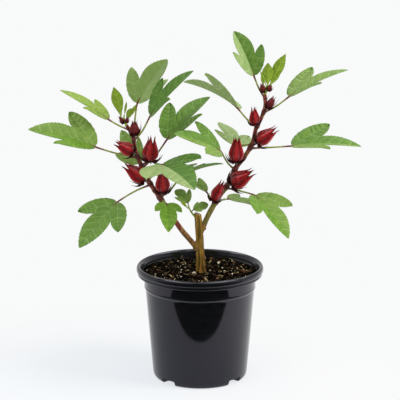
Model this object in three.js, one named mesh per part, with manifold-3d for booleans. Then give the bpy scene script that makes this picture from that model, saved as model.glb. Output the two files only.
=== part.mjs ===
// A young roselle hibiscus in its black nursery pot: one short trunk, two boughs, and on every
// node of a bough one three-lobed leaf with a red calyx beside it.
// Millimetres, +Z up. The origin is the middle of the pot's flat underside. To someone who faces
// the plant, +X is to the right and +Y is away.

import * as THREE from 'three';
import { mergeVertices } from 'three/addons/utils/BufferGeometryUtils.js';
import Module from 'manifold-3d';

const wasm = await Module();
wasm.setup();

// Pieces that touch keep this much clear of each other.
const GAP = 0.3;

// The pot
const RIM_RADIUS = 82.5;
const WALL = 1.6;
const COLLAR_TOP_RADIUS = 74.3;
const COLLAR_TOP_HEIGHT = 136.5;
const INSIDE_TOP_HEIGHT = 140.8;
const SHOULDER_RADIUS = 72.4;
const SHOULDER_HEIGHT = 119.7;
const BODY_TOP_RADIUS = 71.2;
const BODY_FOOT_RADIUS = 62.2;
const FOOT_HEIGHT = 9;
const BASE_RADIUS = 57;
const BASE_THICK = 11.5;
const POT_FACETS = 44;
// The lip, from the small bead under it, over its roll and down inside: how far in from the widest
// radius, and the height above the collar.
const LIP_PROFILE = [
  [2.9, 0.2],
  [1.6, 1.3],
  [1.7, 2.7],
  [2.4, 3.8],
  [0.5, 5.2],
  [0, 7.3],
  [0.1, 9],
  [1.2, 11.4],
  [2.9, 12.2],
  [4.6, 11.4],
  [6.1, 9.4],
  [7.3, 6.6],
];
// The rounded foot: how far out from the underside's edge, and the height
const FOOT_PROFILE = [
  [0, 0],
  [3, 1.4],
  [4.6, 5],
];
// The shoulder is a narrow ledge round the wall, half of it above the shoulder's height.
const SHOULDER_LEDGE = { below: 2, above: 0.8 };
const DRAIN_SLOTS = 4;
const DRAIN_SLOT = { width: 22, depth: 28, height: 8, firstAngle: 47.5 };

// The potting mix is flat round the trunk and a little lower at the pot's wall.
const MIX_TOP = 140.4;
const MIX_EDGE_DROP = 1.6;
const MIX_FLAT_RADIUS = 16;
const MIX_CLEARANCE = 0.4;

// The trunk and the two boughs, each by the middles of its nodes and its radii
const TRUNK_PATH = [
  [1.2, 0, 137.4],
  [0.6, 0, 158],
  [-0.4, 0, 172],
  [-0.6, 0, 186],
  [-1.6, 0, 202],
  [-3.2, 0, 218],
];
const TRUNK_RADII = { foot: 7, low: 5.6, tip: 4.1 };
// The flare of the trunk's foot ends at this share of its length.
const FLARE_SHARE = 0.16;
// The swelling over an old leaf scar, and the two collars that the boughs grow from
const LEAF_SCAR = { at: [4.4, -1, 158], radius: 3.8 };
const TRUNK_COLLARS = [
  { from: [-0.6, 0, 168], to: [-9, -1, 178], fromRadius: 4.8, toRadius: 4 },
  { from: [0.6, 0, 193], to: [5.2, 0, 203], fromRadius: 4.6, toRadius: 4.1 },
];
const LEFT_BOUGH = {
  path: [
    [-3, 0, 170],
    [-14, -2, 184],
    [-22, -4, 194],
    [-30, -6, 206],
    [-49, -10, 237],
    [-62, -12, 257],
    [-68, -12, 267],
    [-74, -10, 281],
    [-79, -9, 293],
    [-83, -8, 306],
    [-85, -6, 320],
    [-93, -5, 333],
  ],
  footRadius: 3.2,
  tipRadius: 1.9,
};
const RIGHT_BOUGH = {
  path: [
    [3, 0, 197],
    [8, 0, 209],
    [14, 1, 221],
    [24, 3, 238],
    [37, 5, 256],
    [45, 6, 274],
    [53, 7, 285],
    [62, 7, 298],
    [67, 6, 308],
    [71, 5, 326],
    [78, 5, 341],
    [82, 4, 353],
    [82, 4, 371],
  ],
  footRadius: 3.2,
  tipRadius: 2,
};

// A blade has a long middle lobe and two side lobes. Its shape is told in shares of its length,
// and a side lobe's own widths in shares of the side lobe's length. A skew over 1 puts a lobe's
// widest place nearer its tip, and a fullness under 1 makes it rounder there.
const BLADE = {
  halfWidth: 0.165,
  sideHalfWidth: 0.23,
  spread: 38,
  sinusShare: 0.6,
  skew: 1.16,
  fullness: 0.8,
  outerSkew: 0.85,
  outerFullness: 0.6,
  thick: 1.1,
  arch: 0.05,
  veinDip: 0.04,
};
const STALK_RADII = { bough: 1.25, blade: 1.05, inBlade: 0.6 };
const STALK_INTO_BLADE = 0.12;
const STALK_LEVEL_START = 0.1;
const STALK_SIDES = 5;
const STALK_STEPS = 5;
// Where the lines of a blade have their points: on a simple blade; from the foot to the notch
// between two lobes; and from that notch to the tips of the middle lobe and of the side lobe
const SIMPLE_STATIONS = [0, 0.15, 0.35, 0.6, 0.82, 1];
const FOOT_STATIONS = [0, 0.4, 1];
const MIDDLE_STATIONS = [0.22, 0.5, 0.78, 1];
const SIDE_STATIONS = [
  { share: 0.45, inner: 0.8 },
  { share: 0.8, inner: 0.45 },
];

// Every leaf: the height on the bough where its stalk starts, the stalk's and the blade's reach
// along X, Y and Z, the blade's roll about its midrib and its fold in degrees, the lengths of
// its left and right side lobes as shares of the blade's length, and how wide its middle lobe is
// against the usual one. A blade without lobes is a simple pointed one.
const LEFT_LEAVES = [
  // Low in the middle, in front of the trunk
  {
    height: 237, stalk: [7, -18, -1], blade: [3, -42, -26],
    roll: -6, fold: 27, lobes: [0.6, 0.62], wide: 1.5,
  },
  // In the middle, towards the right
  {
    height: 240, stalk: [27, -12, 30], blade: [53, -17, 20],
    roll: -9, fold: 16, lobes: [0.6, 0.6], wide: 1.3,
  },
  // Behind the plant
  {
    height: 250, stalk: [23, 33, 17], blade: [6, 74, -8],
    roll: 0, fold: 10, lobes: [0.6, 0.6], wide: 1,
  },
  // Far left, hanging
  {
    height: 258, stalk: [-42, -14, -20], blade: [-45, -48, -47],
    roll: -22, fold: 5, lobes: [0.63, 0.63], wide: 1.1,
  },
  // Towards the viewer, large
  {
    height: 264, stalk: [18, -28, 25], blade: [42, -90, -12],
    roll: 14, fold: 14, lobes: [0.6, 0.7], wide: 1.1,
  },
  // Behind the bough, standing
  {
    height: 276, stalk: [-4, 24, 6], blade: [-27, 36, 35],
    roll: -58, fold: 22, lobes: [0.62, 0.55], wide: 1,
  },
  // In the middle, rising to the right
  {
    height: 279, stalk: [32, -4, 38], blade: [54, 36, 48],
    roll: 9, fold: 20, lobes: [0.66, 0.69], wide: 1.1,
  },
  // Far left, the longest
  {
    height: 292, stalk: [-54, -5, 15], blade: [-85, 12, 20],
    roll: -26, fold: 22, lobes: [0.65, 0.66], wide: 1.15,
  },
  // Upper middle, rising
  {
    height: 313, stalk: [23, -29, 38], blade: [53, -7, 56],
    roll: 24, fold: 13, lobes: [0.64, 0.63], wide: 1.1,
  },
  // The upright one above the middle
  {
    height: 322, stalk: [7, 8, 38], blade: [39, -29, 59],
    roll: -34, fold: 27, lobes: [0.63, 0.62], wide: 1.15,
  },
  // Upper left, pale
  {
    height: 327, stalk: [-28, 13, 12], blade: [-61, 12, 35],
    roll: -4, fold: 5, lobes: [0.54, 0.54], wide: 1.1,
  },
];
const RIGHT_LEAVES = [
  // Low in the middle, behind the stems
  {
    height: 231, stalk: [-12, 11, 12], blade: [-40, 16, 17],
    roll: -2, fold: 15, lobes: [0.62, 0.56], wide: 1,
  },
  // Behind the low right leaf
  {
    height: 233, stalk: [16, 12, 0], blade: [52, 24, -17],
    roll: 8, fold: 5, lobes: [0.5, 0.55], wide: 1,
  },
  // Low right, hanging forward
  {
    height: 250, stalk: [38, -10, -8], blade: [40, -50, -44],
    roll: 3, fold: 18, lobes: [0.63, 0.62], wide: 1.1,
  },
  // Across the middle, to the left
  {
    height: 273, stalk: [-19, -16, 28], blade: [-58, -34, 28],
    roll: -36, fold: 11, lobes: [0.63, 0.66], wide: 1,
  },
  // Far right, level
  {
    height: 301, stalk: [54, 1, 3], blade: [88, -5, 0],
    roll: 14, fold: 16, lobes: [0.7, 0.68], wide: 1,
  },
  // Behind the middle
  {
    height: 306, stalk: [-18, 12, -4], blade: [-22, 68, 19],
    roll: 16, fold: 2, lobes: [0.52, 0.6], wide: 1,
  },
  // Upper middle, to the left and back
  {
    height: 329, stalk: [-25, 17, 22], blade: [-69, 50, 26],
    roll: 33, fold: 18, lobes: [0.66, 0.66], wide: 1.1,
  },
  // Upper right
  {
    height: 347, stalk: [34, 10, 20], blade: [75, 12, 32],
    roll: 6, fold: 12, lobes: [0.72, 0.6], wide: 1,
  },
  // The highest
  {
    height: 366, stalk: [-14, 6, 28], blade: [-25, 30, 53],
    roll: -21, fold: 35, lobes: [0.61, 0.6], wide: 1.25,
  },
];

// A calyx is five fleshy sepals, fused below and pointed above, with slim bracts round its foot.
// Widths and radii are shares of its half width, heights are shares of its length.
const CALYX = {
  sepals: 5,
  ribDepth: 0.08,
  outline: [
    [0, 0],
    [0.38, 0.01],
    [0.82, 0.13],
    [1, 0.36],
    [0.88, 0.56],
    [0.6, 0.72],
    [0, 0.8],
  ],
  tipFrom: [0.4, 0.5],
  tipTo: [0.52, 1],
  tipRadius: 0.36,
  tipSides: 4,
  bracts: 6,
  bractPath: [
    [0.2, 0.03],
    [1.4, 0.24],
  ],
  bractRadius: 0.75,
  bractSides: 3,
  bractTurn: 0.3,
  stalkRadius: 1.3,
  stalkRadiusShare: 0.18,
  stalkInside: 0.08,
};

// Every calyx: the height on the bough, the reach of its stalk and of its body, and its width
const LEFT_CALYCES = [
  { height: 242, stalk: [5, -6, 6], body: [-1, -4, 31], width: 17.5 },
  { height: 260, stalk: [-7, 0, 3], body: [-25, -6, 22], width: 17 },
  { height: 283, stalk: [12, -12, 7], body: [3, -4, 32], width: 18.5 },
  { height: 294, stalk: [-5, -8, 6], body: [-22, -6, 14], width: 15 },
  { height: 318, stalk: [2, -6, 4], body: [0, -2, 22], width: 13 },
];
const RIGHT_CALYCES = [
  { height: 234, stalk: [-5, -8, 1], body: [13, -4, 27], width: 13 },
  { height: 252, stalk: [6, -5, 3], body: [28, -8, 19], width: 21 },
  { height: 275, stalk: [0, -9, 10], body: [1, -4, 33], width: 19 },
  { height: 303, stalk: [8, -5, 6], body: [25, -6, 20], width: 17.5 },
  { height: 331, stalk: [-4, -6, 2], body: [-2, -3, 23], width: 13 },
  { height: 350, stalk: [5, -1, 4], body: [10, -3, 18], width: 10 },
];

// Young growth: a short stem with small leaves and buds fused to it. Each leaf and bud is told
// by the height on the stem where it starts and by its reach.
const LEFT_TIP = {
  path: [
    [-93, -5, 333],
    [-95, -5, 338],
    [-97, -5, 343],
  ],
  radius: 1.8,
  leaves: [
    { height: 341, stalk: [-3, -1, 2], blade: [-9, -5, 40], roll: 60, fold: 15, wide: 1.1 },
    { height: 339, stalk: [2, -2, 2], blade: [7, -4, 15], roll: -65, fold: 15, wide: 1.2 },
    { height: 337, stalk: [3, -2, 3], blade: [12, -4, 21], roll: -80, fold: 35, wide: 0.7 },
    { height: 342, stalk: [1, 2, 3], blade: [3, 3, 18], roll: -135, fold: 40, wide: 0.6 },
  ],
  buds: [
    { height: 335, stalk: [-3, 0, 1], body: [-6, -1, 11], width: 6 },
    { height: 337, stalk: [2, -2, 0], body: [2, -2, 9], width: 5 },
  ],
};
const RIGHT_TIP = {
  path: [
    [82, 4, 371],
    [84, 4, 377],
    [86, 4, 383],
  ],
  radius: 1.9,
  leaves: [
    { height: 381, stalk: [0, -2, 1], blade: [0, -3, 30], roll: 0, fold: 12, wide: 1.45 },
    { height: 381, stalk: [3, 2, 2], blade: [20, 4, 39], roll: -100, fold: 20, wide: 1 },
    { height: 379, stalk: [-1, -2, 3], blade: [-8, -2, 20], roll: 75, fold: 35, wide: 0.6 },
    { height: 378, stalk: [-3, -1, 3], blade: [-5, -2, 13], roll: 70, fold: 35, wide: 0.7 },
    { height: 379, stalk: [4, 1, 3], blade: [14, 4, 18], roll: -105, fold: 25, wide: 0.8 },
  ],
  buds: [
    { height: 373, stalk: [-3, -1, 1], body: [-3, -3, 14], width: 7 },
    { height: 375, stalk: [3, -1, 1], body: [4, -2, 10], width: 7 },
  ],
};
const SIDE_SHOOT = {
  path: [
    [-4, -1, 211],
    [-8, -1.5, 215],
    [-12, -3, 221],
    [-15, -2, 227],
  ],
  radius: 1.4,
  leaves: [
    {
      height: 226, stalk: [-1, 2, 5], blade: [-16, 28, 11],
      roll: -22, fold: 23, lobes: [0.55, 0.6], wide: 1.3,
    },
    {
      height: 220, stalk: [3, -4, 4], blade: [19, 12, 4],
      roll: 58, fold: 25, lobes: [0.5, 0.5], wide: 1.6,
    },
    { height: 225, stalk: [-2, -1, 0], blade: [-9, -3, 8], roll: -40, fold: 20, wide: 1.3 },
  ],
  buds: [],
};
const SHOOT_SIDES = 6;
const SHOOT_TIP_SHARE = 0.7;
const YOUNG_BLADE_THICK = 0.8;
const YOUNG_STALK_SCALE = 0.7;
const BUD_OUTLINE = [
  [0, 0],
  [0.6, 0.04],
  [1, 0.35],
  [0.75, 0.65],
  [0, 1],
];
const BUD_SIDES = 6;

// Colours
const BLACK_PLASTIC = new THREE.MeshStandardMaterial({ color: 0x17181a, roughness: 0.3, metalness: 0 });
const POTTING_MIX = new THREE.MeshStandardMaterial({ color: 0x2a1f17, roughness: 0.95, metalness: 0 });
const TAN_BARK = new THREE.MeshStandardMaterial({ color: 0x8a713a, roughness: 0.8, metalness: 0 });
const RED_BARK = new THREE.MeshStandardMaterial({ color: 0x5a2a20, roughness: 0.7, metalness: 0 });
const LEAF_GREEN = new THREE.MeshStandardMaterial({ color: 0x5c9240, roughness: 0.6, metalness: 0 });
const YOUNG_GREEN = new THREE.MeshStandardMaterial({ color: 0x93b52c, roughness: 0.6, metalness: 0 });
const CALYX_RED = new THREE.MeshStandardMaterial({ color: 0x8e1420, roughness: 0.4, metalness: 0 });

// Vectors and solids

function vec(list) {
  return new THREE.Vector3(...list);
}

function solidOf(geometry) {
  const bare = geometry.clone();
  bare.deleteAttribute('normal');
  bare.deleteAttribute('uv');
  const merged = mergeVertices(bare, 1e-4);
  const kept = [];
  const index = merged.getIndex().array;
  for (let i = 0; i < index.length; i += 3) {
    const [a, b, c] = [index[i], index[i + 1], index[i + 2]];
    if (a !== b && b !== c && c !== a) {
      kept.push(a, b, c);
    }
  }
  const vertProperties = new Float32Array(merged.getAttribute('position').array);
  const triVerts = new Uint32Array(kept);
  return new wasm.Manifold(new wasm.Mesh({ numProp: 3, vertProperties, triVerts }));
}

// The largest body of a solid: a scrap that a cut leaves loose is dropped.
function mainBody(solid) {
  return solid.decompose().reduce((best, body) => (body.volume() > best.volume() ? body : best));
}

function joined(solids) {
  return solids.reduce((sum, solid) => sum.add(solid));
}

// A mesh of a solid that stands in the plant's frame, with its own origin at the given point
function meshOf(name, solid, material, origin) {
  const { vertProperties, triVerts } = mainBody(solid).getMesh();
  const geometry = new THREE.BufferGeometry();
  geometry.setAttribute('position', new THREE.BufferAttribute(new Float32Array(vertProperties), 3));
  geometry.setIndex(new THREE.BufferAttribute(new Uint32Array(triVerts), 1));
  geometry.translate(-origin.x, -origin.y, -origin.z);
  geometry.computeVertexNormals();
  const mesh = new THREE.Mesh(geometry, material);
  mesh.name = name;
  mesh.position.copy(origin);
  return mesh;
}

// Limbs

// A round limb along a smooth curve through the points. Its radius follows the share of the way.
function limb(points, radiusAt, sides, steps) {
  const curve = new THREE.CatmullRomCurve3(points, false, 'centripetal');
  const frames = curve.computeFrenetFrames(steps, false);
  const geometry = new THREE.CylinderGeometry(1, 1, 1, sides, steps);
  const position = geometry.getAttribute('position');
  const placed = new THREE.Vector3();
  for (let i = 0; i < position.count; i += 1) {
    const share = position.getY(i) + 0.5;
    const step = Math.round(share * steps);
    const radius = radiusAt(share);
    placed.copy(curve.getPointAt(share));
    placed.addScaledVector(frames.normals[step], position.getX(i) * radius);
    placed.addScaledVector(frames.binormals[step], -position.getZ(i) * radius);
    position.setXYZ(i, placed.x, placed.y, placed.z);
  }
  return solidOf(geometry);
}

function taper(from, to) {
  return (share) => from + (to - from) * share;
}

// The middle of a limb at a height, between the points of its path
function pointAtHeight(path, height) {
  const above = path.findIndex((point) => point[2] >= height);
  const high = path[above];
  const low = path[above - 1];
  const share = (height - low[2]) / (high[2] - low[2]);
  return vec(low).lerp(vec(high), share);
}

const TRUNK_SIDES = 12;
const BOUGH_SIDES = 10;
const SCAR_SIDES = 9;
const SCAR_STEPS = 5;
// A bough keeps its thickness for longer than a straight taper would: the power of its taper
const BOUGH_TAPER = 1.4;

// The points of a path whose last one is moved on by an extra length
function lengthened(path, extra) {
  const points = path.map(vec);
  const [beforeEnd, end] = points.slice(-2);
  end.addScaledVector(end.clone().sub(beforeEnd).normalize(), extra);
  return points;
}

// With an extra, the trunk and its collars are that much larger all round.
function trunkSolid(extra) {
  const { foot, low, tip } = TRUNK_RADII;
  const radiusAt = (share) => {
    const flare = (foot - low) * Math.max(0, 1 - share / FLARE_SHARE) ** 2;
    return low + (tip - low) * share + flare + extra;
  };
  const stem = limb(TRUNK_PATH.map(vec), radiusAt, TRUNK_SIDES, 2 * TRUNK_PATH.length);
  const scar = new THREE.SphereGeometry(LEAF_SCAR.radius + extra, SCAR_SIDES, SCAR_STEPS);
  scar.translate(...LEAF_SCAR.at);
  const collars = TRUNK_COLLARS.map(({ from, to, fromRadius, toRadius }) =>
    limb(lengthened([from, to], extra), taper(fromRadius + extra, toRadius + extra), TRUNK_SIDES, 1));
  return joined([stem, solidOf(scar), ...collars]);
}

// With an extra, a bough is that much larger all round, also beyond its end.
function boughSolid(bough, extra) {
  const points = lengthened(bough.path, extra);
  const byShare = taper(bough.footRadius + extra, bough.tipRadius + extra);
  const radiusAt = (share) => byShare(share ** BOUGH_TAPER);
  return limb(points, radiusAt, BOUGH_SIDES, 2 * points.length);
}

// Leaves

// The share of its full width that a lobe has at a share of its length
function lobeWidth(share, skew, fullness) {
  return Math.sin(Math.PI * share ** skew) ** fullness;
}

function middleEdge(length, wide) {
  const halfWidth = BLADE.halfWidth * wide * length;
  const widthAt = (u) => halfWidth * lobeWidth(u / length, BLADE.skew, BLADE.fullness);
  return (u) => ({ u, v: u < length ? widthAt(u) : 0 });
}

// The lines of half a simple blade, from its foot to its tip, as points u along the midrib and
// v across it. Both halves are worked out as the left one.
function simpleHalf(length, wide) {
  const edgeAt = middleEdge(length, wide);
  return { edge: SIMPLE_STATIONS.map((share) => edgeAt(share * length)) };
}

// The same for half a lobed blade. The side lobe has its own vein, an inner edge that starts
// where it parts from the middle lobe, and an outer edge.
function lobedHalf(length, wide, lobeShare) {
  const spread = THREE.MathUtils.degToRad(BLADE.spread);
  const [cos, sin] = [Math.cos(spread), Math.sin(spread)];
  const sideLength = lobeShare * length;
  const sinusU = BLADE.sinusShare * sideLength;
  const edgeAt = middleEdge(length, wide);
  const sinus = edgeAt(sinusU);
  const shared = FOOT_STATIONS.map((share) => ({ u: share * sinus.u, v: share * sinus.v }));
  const beyond = MIDDLE_STATIONS.map((share) => edgeAt(sinusU + share * (length - sinusU)));
  // a is the way along the side lobe's vein and b the way off it, towards the middle lobe.
  const sideAt = (a, b) => ({ u: a * cos + b * sin, v: a * sin - b * cos });
  const sinusA = sinus.u * cos + sinus.v * sin;
  const sinusB = sinus.u * sin - sinus.v * cos;
  const pastSinus = SIDE_STATIONS.map(({ share }) => sinusA + share * (sideLength - sinusA));
  const stations = [...FOOT_STATIONS.map((share) => share * sinusA), ...pastSinus];
  const end = sideAt(sideLength, 0);
  const outerWidthAt = (a) =>
    BLADE.sideHalfWidth * sideLength * lobeWidth(a / sideLength, BLADE.outerSkew, BLADE.outerFullness);
  return {
    edge: [...shared, ...beyond],
    inner: [...shared, ...SIDE_STATIONS.map(({ inner }, i) => sideAt(pastSinus[i], inner * sinusB)), end],
    vein: [...stations.map((a) => ({ ...sideAt(a, 0), dip: true })), end],
    outer: [...stations.map((a) => sideAt(a, -outerWidthAt(a))), end],
    sinusIndex: FOOT_STATIONS.length - 1,
  };
}

function mirrored(half) {
  const flip = (line) => line.map((point) => ({ ...point, v: -point.v }));
  const { sinusIndex, ...lines } = half;
  const flipped = Object.fromEntries(Object.entries(lines).map(([name, line]) => [name, flip(line)]));
  return { ...flipped, sinusIndex };
}

// The way round half a blade, from its foot to its tip
function halfRim(half) {
  if (!half.outer) {
    return half.edge;
  }
  return [
    ...half.outer,
    ...half.inner.slice(half.sinusIndex).reverse(),
    ...half.edge.slice(half.sinusIndex),
  ];
}

// Where a blade stands: its directions, and the place of a flat point on its folded surface
function bladeFrame(foot, spec) {
  const reach = vec(spec.blade);
  const length = reach.length();
  const along = reach.clone().normalize();
  const level = new THREE.Vector3(0, 0, 1).cross(along).normalize();
  const across = level.applyAxisAngle(along, THREE.MathUtils.degToRad(spec.roll));
  const up = along.clone().cross(across);
  const fold = THREE.MathUtils.degToRad(spec.fold);
  const place = ({ u, v, dip }, lift) => {
    const share = u / length;
    const arch = BLADE.arch * length * 4 * share * (1 - share);
    const sink = dip ? BLADE.veinDip * Math.hypot(u, v) : 0;
    return foot
      .clone()
      .addScaledVector(along, u)
      .addScaledVector(across, v * Math.cos(fold))
      .addScaledVector(up, Math.abs(v) * Math.sin(fold) + arch - sink + lift);
  };
  return { length, place };
}

// The blade as a thin closed solid from its foot to its tip
function bladeSolid(foot, spec, thick) {
  const { length, place } = bladeFrame(foot, spec);
  const halfOf = (side) =>
    spec.lobes ? lobedHalf(length, spec.wide, spec.lobes[side]) : simpleHalf(length, spec.wide);
  const left = halfOf(0);
  const right = mirrored(halfOf(1));
  const midrib = left.edge.map((point, i) => ({ u: (point.u + right.edge[i].u) / 2, v: 0 }));

  const points = [];
  const triangle = (a, b, c) => points.push(...a.toArray(), ...b.toArray(), ...c.toArray());
  const quad = (a, b, c, d) => {
    triangle(a, b, c);
    triangle(a, c, d);
  };
  const top = (point) => place(point, thick / 2);
  const under = (point) => place(point, -thick / 2);
  const strip = (rightLine, leftLine) => {
    for (let i = 1; i < rightLine.length; i += 1) {
      const [a, b, c, d] = [rightLine[i - 1], rightLine[i], leftLine[i], leftLine[i - 1]];
      quad(top(a), top(b), top(c), top(d));
      quad(under(a), under(d), under(c), under(b));
    }
  };
  strip(right.edge, midrib);
  strip(midrib, left.edge);
  if (spec.lobes) {
    strip(right.outer, right.vein);
    strip(right.vein, right.inner);
    strip(left.inner, left.vein);
    strip(left.vein, left.outer);
  }
  const rim = [...halfRim(right), ...halfRim(left).reverse()];
  for (let i = 1; i < rim.length; i += 1) {
    quad(top(rim[i - 1]), under(rim[i - 1]), under(rim[i]), top(rim[i]));
  }
  const geometry = new THREE.BufferGeometry();
  geometry.setAttribute('position', new THREE.BufferAttribute(new Float32Array(points), 3));
  return solidOf(geometry);
}

// A leaf. Its stalk leaves the bough a little more level than it goes on, and it runs on into
// the blade along the midrib.
function leafSolid(start, spec, thick, stalkScale) {
  const reach = vec(spec.stalk);
  const foot = start.clone().add(reach);
  const middle = start.clone().addScaledVector(reach, 0.5);
  middle.z -= STALK_LEVEL_START * reach.z;
  const { length, place } = bladeFrame(foot, spec);
  const end = place({ u: STALK_INTO_BLADE * length, v: 0 }, 0);
  const stalkShare = reach.length() / (reach.length() + STALK_INTO_BLADE * length);
  const { bough, blade, inBlade } = STALK_RADII;
  const beforeBlade = taper(bough, blade);
  const inside = taper(blade, inBlade);
  const radiusAt = (share) => {
    const beyond = (share - stalkShare) / (1 - stalkShare);
    return stalkScale * (beyond < 0 ? beforeBlade(share / stalkShare) : inside(beyond));
  };
  const stalk = limb([start, middle, foot, end], radiusAt, STALK_SIDES, STALK_STEPS);
  return stalk.add(bladeSolid(foot, spec, thick));
}

// Calyces

// A calyx along +Z with its foot at the origin
function calyxBody(length, halfWidth) {
  const outline = CALYX.outline.map(([r, h]) => new THREE.Vector2(r * halfWidth, h * length));
  const body = new THREE.LatheGeometry(outline, 2 * CALYX.sepals);
  const position = body.getAttribute('position');
  for (let i = 0; i < position.count; i += 1) {
    const angle = Math.atan2(position.getX(i), position.getZ(i));
    const rib = 1 + CALYX.ribDepth * Math.cos(CALYX.sepals * angle);
    position.setX(i, position.getX(i) * rib);
    position.setZ(i, position.getZ(i) * rib);
  }
  body.rotateX(Math.PI / 2);
  const parts = [solidOf(body)];
  const onAngle = ([r, h], angle) =>
    new THREE.Vector3(Math.cos(angle) * r * halfWidth, Math.sin(angle) * r * halfWidth, h * length);
  for (let i = 0; i < CALYX.sepals; i += 1) {
    const angle = -Math.PI / 2 + (2 * Math.PI * i) / CALYX.sepals;
    const from = onAngle(CALYX.tipFrom, angle);
    const to = onAngle(CALYX.tipTo, angle);
    parts.push(limb([from, to], taper(CALYX.tipRadius * halfWidth, 0), CALYX.tipSides, 1));
  }
  for (let i = 0; i < CALYX.bracts; i += 1) {
    const angle = (2 * Math.PI * (i + CALYX.bractTurn)) / CALYX.bracts;
    const path = CALYX.bractPath.map((point) => onAngle(point, angle));
    parts.push(limb(path, taper(CALYX.bractRadius, 0), CALYX.bractSides, 1));
  }
  return joined(parts);
}

// A small closed bud along +Z, round and pointed
function budBody(length, halfWidth) {
  const outline = BUD_OUTLINE.map(([r, h]) => new THREE.Vector2(r * halfWidth, h * length));
  const body = new THREE.LatheGeometry(outline, BUD_SIDES);
  body.rotateX(Math.PI / 2);
  return solidOf(body);
}

// A body along +Z set on a stalk that starts inside the bough
function onStalk(start, spec, bodyOf) {
  const foot = start.clone().add(vec(spec.stalk));
  const axis = vec(spec.body);
  const length = axis.length();
  const direction = axis.clone().normalize();
  const turn = new THREE.Quaternion().setFromUnitVectors(new THREE.Vector3(0, 0, 1), direction);
  const matrix = new THREE.Matrix4().compose(foot, turn, new THREE.Vector3(1, 1, 1));
  const body = bodyOf(length, spec.width / 2).transform(matrix.toArray());
  const inside = foot.clone().addScaledVector(direction, CALYX.stalkInside * length);
  const stalkRadius = Math.min(CALYX.stalkRadius, CALYX.stalkRadiusShare * spec.width);
  const stalk = limb([start, foot, inside], taper(stalkRadius, stalkRadius), STALK_SIDES, 2);
  return stalk.add(body);
}

// The pot and its filling

function lathe(profile) {
  const points = profile.map(([r, z]) => new THREE.Vector2(r, z));
  const geometry = new THREE.LatheGeometry(points, POT_FACETS);
  geometry.rotateX(Math.PI / 2);
  return solidOf(geometry);
}

// The inside of the wall: one slope up to the shoulder and another up the collar
function innerRadiusAt(height) {
  const onBody = height < SHOULDER_HEIGHT;
  const [low, lowRadius] = onBody ? [FOOT_HEIGHT, BODY_FOOT_RADIUS] : [SHOULDER_HEIGHT, BODY_TOP_RADIUS];
  const [high, highRadius] = onBody
    ? [SHOULDER_HEIGHT, BODY_TOP_RADIUS]
    : [COLLAR_TOP_HEIGHT, COLLAR_TOP_RADIUS];
  const share = (height - low) / (high - low);
  return lowRadius + (highRadius - lowRadius) * share - WALL;
}

function potSolid() {
  const { below, above } = SHOULDER_LEDGE;
  const shell = lathe([
    [0, 0],
    ...FOOT_PROFILE.map(([out, height]) => [BASE_RADIUS + out, height]),
    [BODY_FOOT_RADIUS, FOOT_HEIGHT],
    [BODY_TOP_RADIUS, SHOULDER_HEIGHT - below],
    [SHOULDER_RADIUS, SHOULDER_HEIGHT - above],
    [SHOULDER_RADIUS, SHOULDER_HEIGHT + above],
    [COLLAR_TOP_RADIUS, COLLAR_TOP_HEIGHT],
    ...LIP_PROFILE.map(([inward, height]) => [RIM_RADIUS - inward, COLLAR_TOP_HEIGHT + height]),
    [innerRadiusAt(INSIDE_TOP_HEIGHT), INSIDE_TOP_HEIGHT],
    [innerRadiusAt(SHOULDER_HEIGHT), SHOULDER_HEIGHT],
    [innerRadiusAt(BASE_THICK), BASE_THICK],
    [0, BASE_THICK],
  ]);
  const slots = [];
  for (let i = 0; i < DRAIN_SLOTS; i += 1) {
    const slot = new THREE.BoxGeometry(DRAIN_SLOT.depth, DRAIN_SLOT.width, 2 * DRAIN_SLOT.height);
    slot.translate(BODY_FOOT_RADIUS, 0, 0);
    slot.rotateZ(THREE.MathUtils.degToRad(-90 + DRAIN_SLOT.firstAngle + (360 * i) / DRAIN_SLOTS));
    slots.push(solidOf(slot));
  }
  return shell.subtract(joined(slots));
}

function mixSolid() {
  const edgeHeight = MIX_TOP - MIX_EDGE_DROP;
  return lathe([
    [0, BASE_THICK + GAP],
    [innerRadiusAt(BASE_THICK) - MIX_CLEARANCE, BASE_THICK + GAP],
    [innerRadiusAt(SHOULDER_HEIGHT) - MIX_CLEARANCE, SHOULDER_HEIGHT],
    [innerRadiusAt(edgeHeight) - MIX_CLEARANCE, edgeHeight],
    [MIX_FLAT_RADIUS, MIX_TOP],
    [0, MIX_TOP],
  ]);
}

// The plant

// The trunk is cut flat a gap above the potting mix.
const CUT_SIZE = 40;
const belowTrunk = new THREE.BoxGeometry(CUT_SIZE, CUT_SIZE, CUT_SIZE);
belowTrunk.translate(0, 0, MIX_TOP + GAP - CUT_SIZE / 2);
const trunk = trunkSolid(0).subtract(solidOf(belowTrunk));
const nearTrunk = trunkSolid(GAP);
const boughs = { left: LEFT_BOUGH, right: RIGHT_BOUGH };
const nearBough = {
  left: boughSolid(LEFT_BOUGH, GAP),
  right: boughSolid(RIGHT_BOUGH, GAP),
};

function leafMeshes(side, rows) {
  return rows.map((spec, i) => {
    const start = pointAtHeight(boughs[side].path, spec.height);
    const solid = leafSolid(start, spec, BLADE.thick, 1).subtract(nearBough[side]);
    return meshOf(`${side}_leaf_${i + 1}`, solid, LEAF_GREEN, start);
  });
}

function calyxMeshes(side, rows) {
  return rows.map((spec, i) => {
    const start = pointAtHeight(boughs[side].path, spec.height);
    const solid = onStalk(start, spec, calyxBody).subtract(nearBough[side]);
    return meshOf(`${side}_calyx_${i + 1}`, solid, CALYX_RED, start);
  });
}

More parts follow.
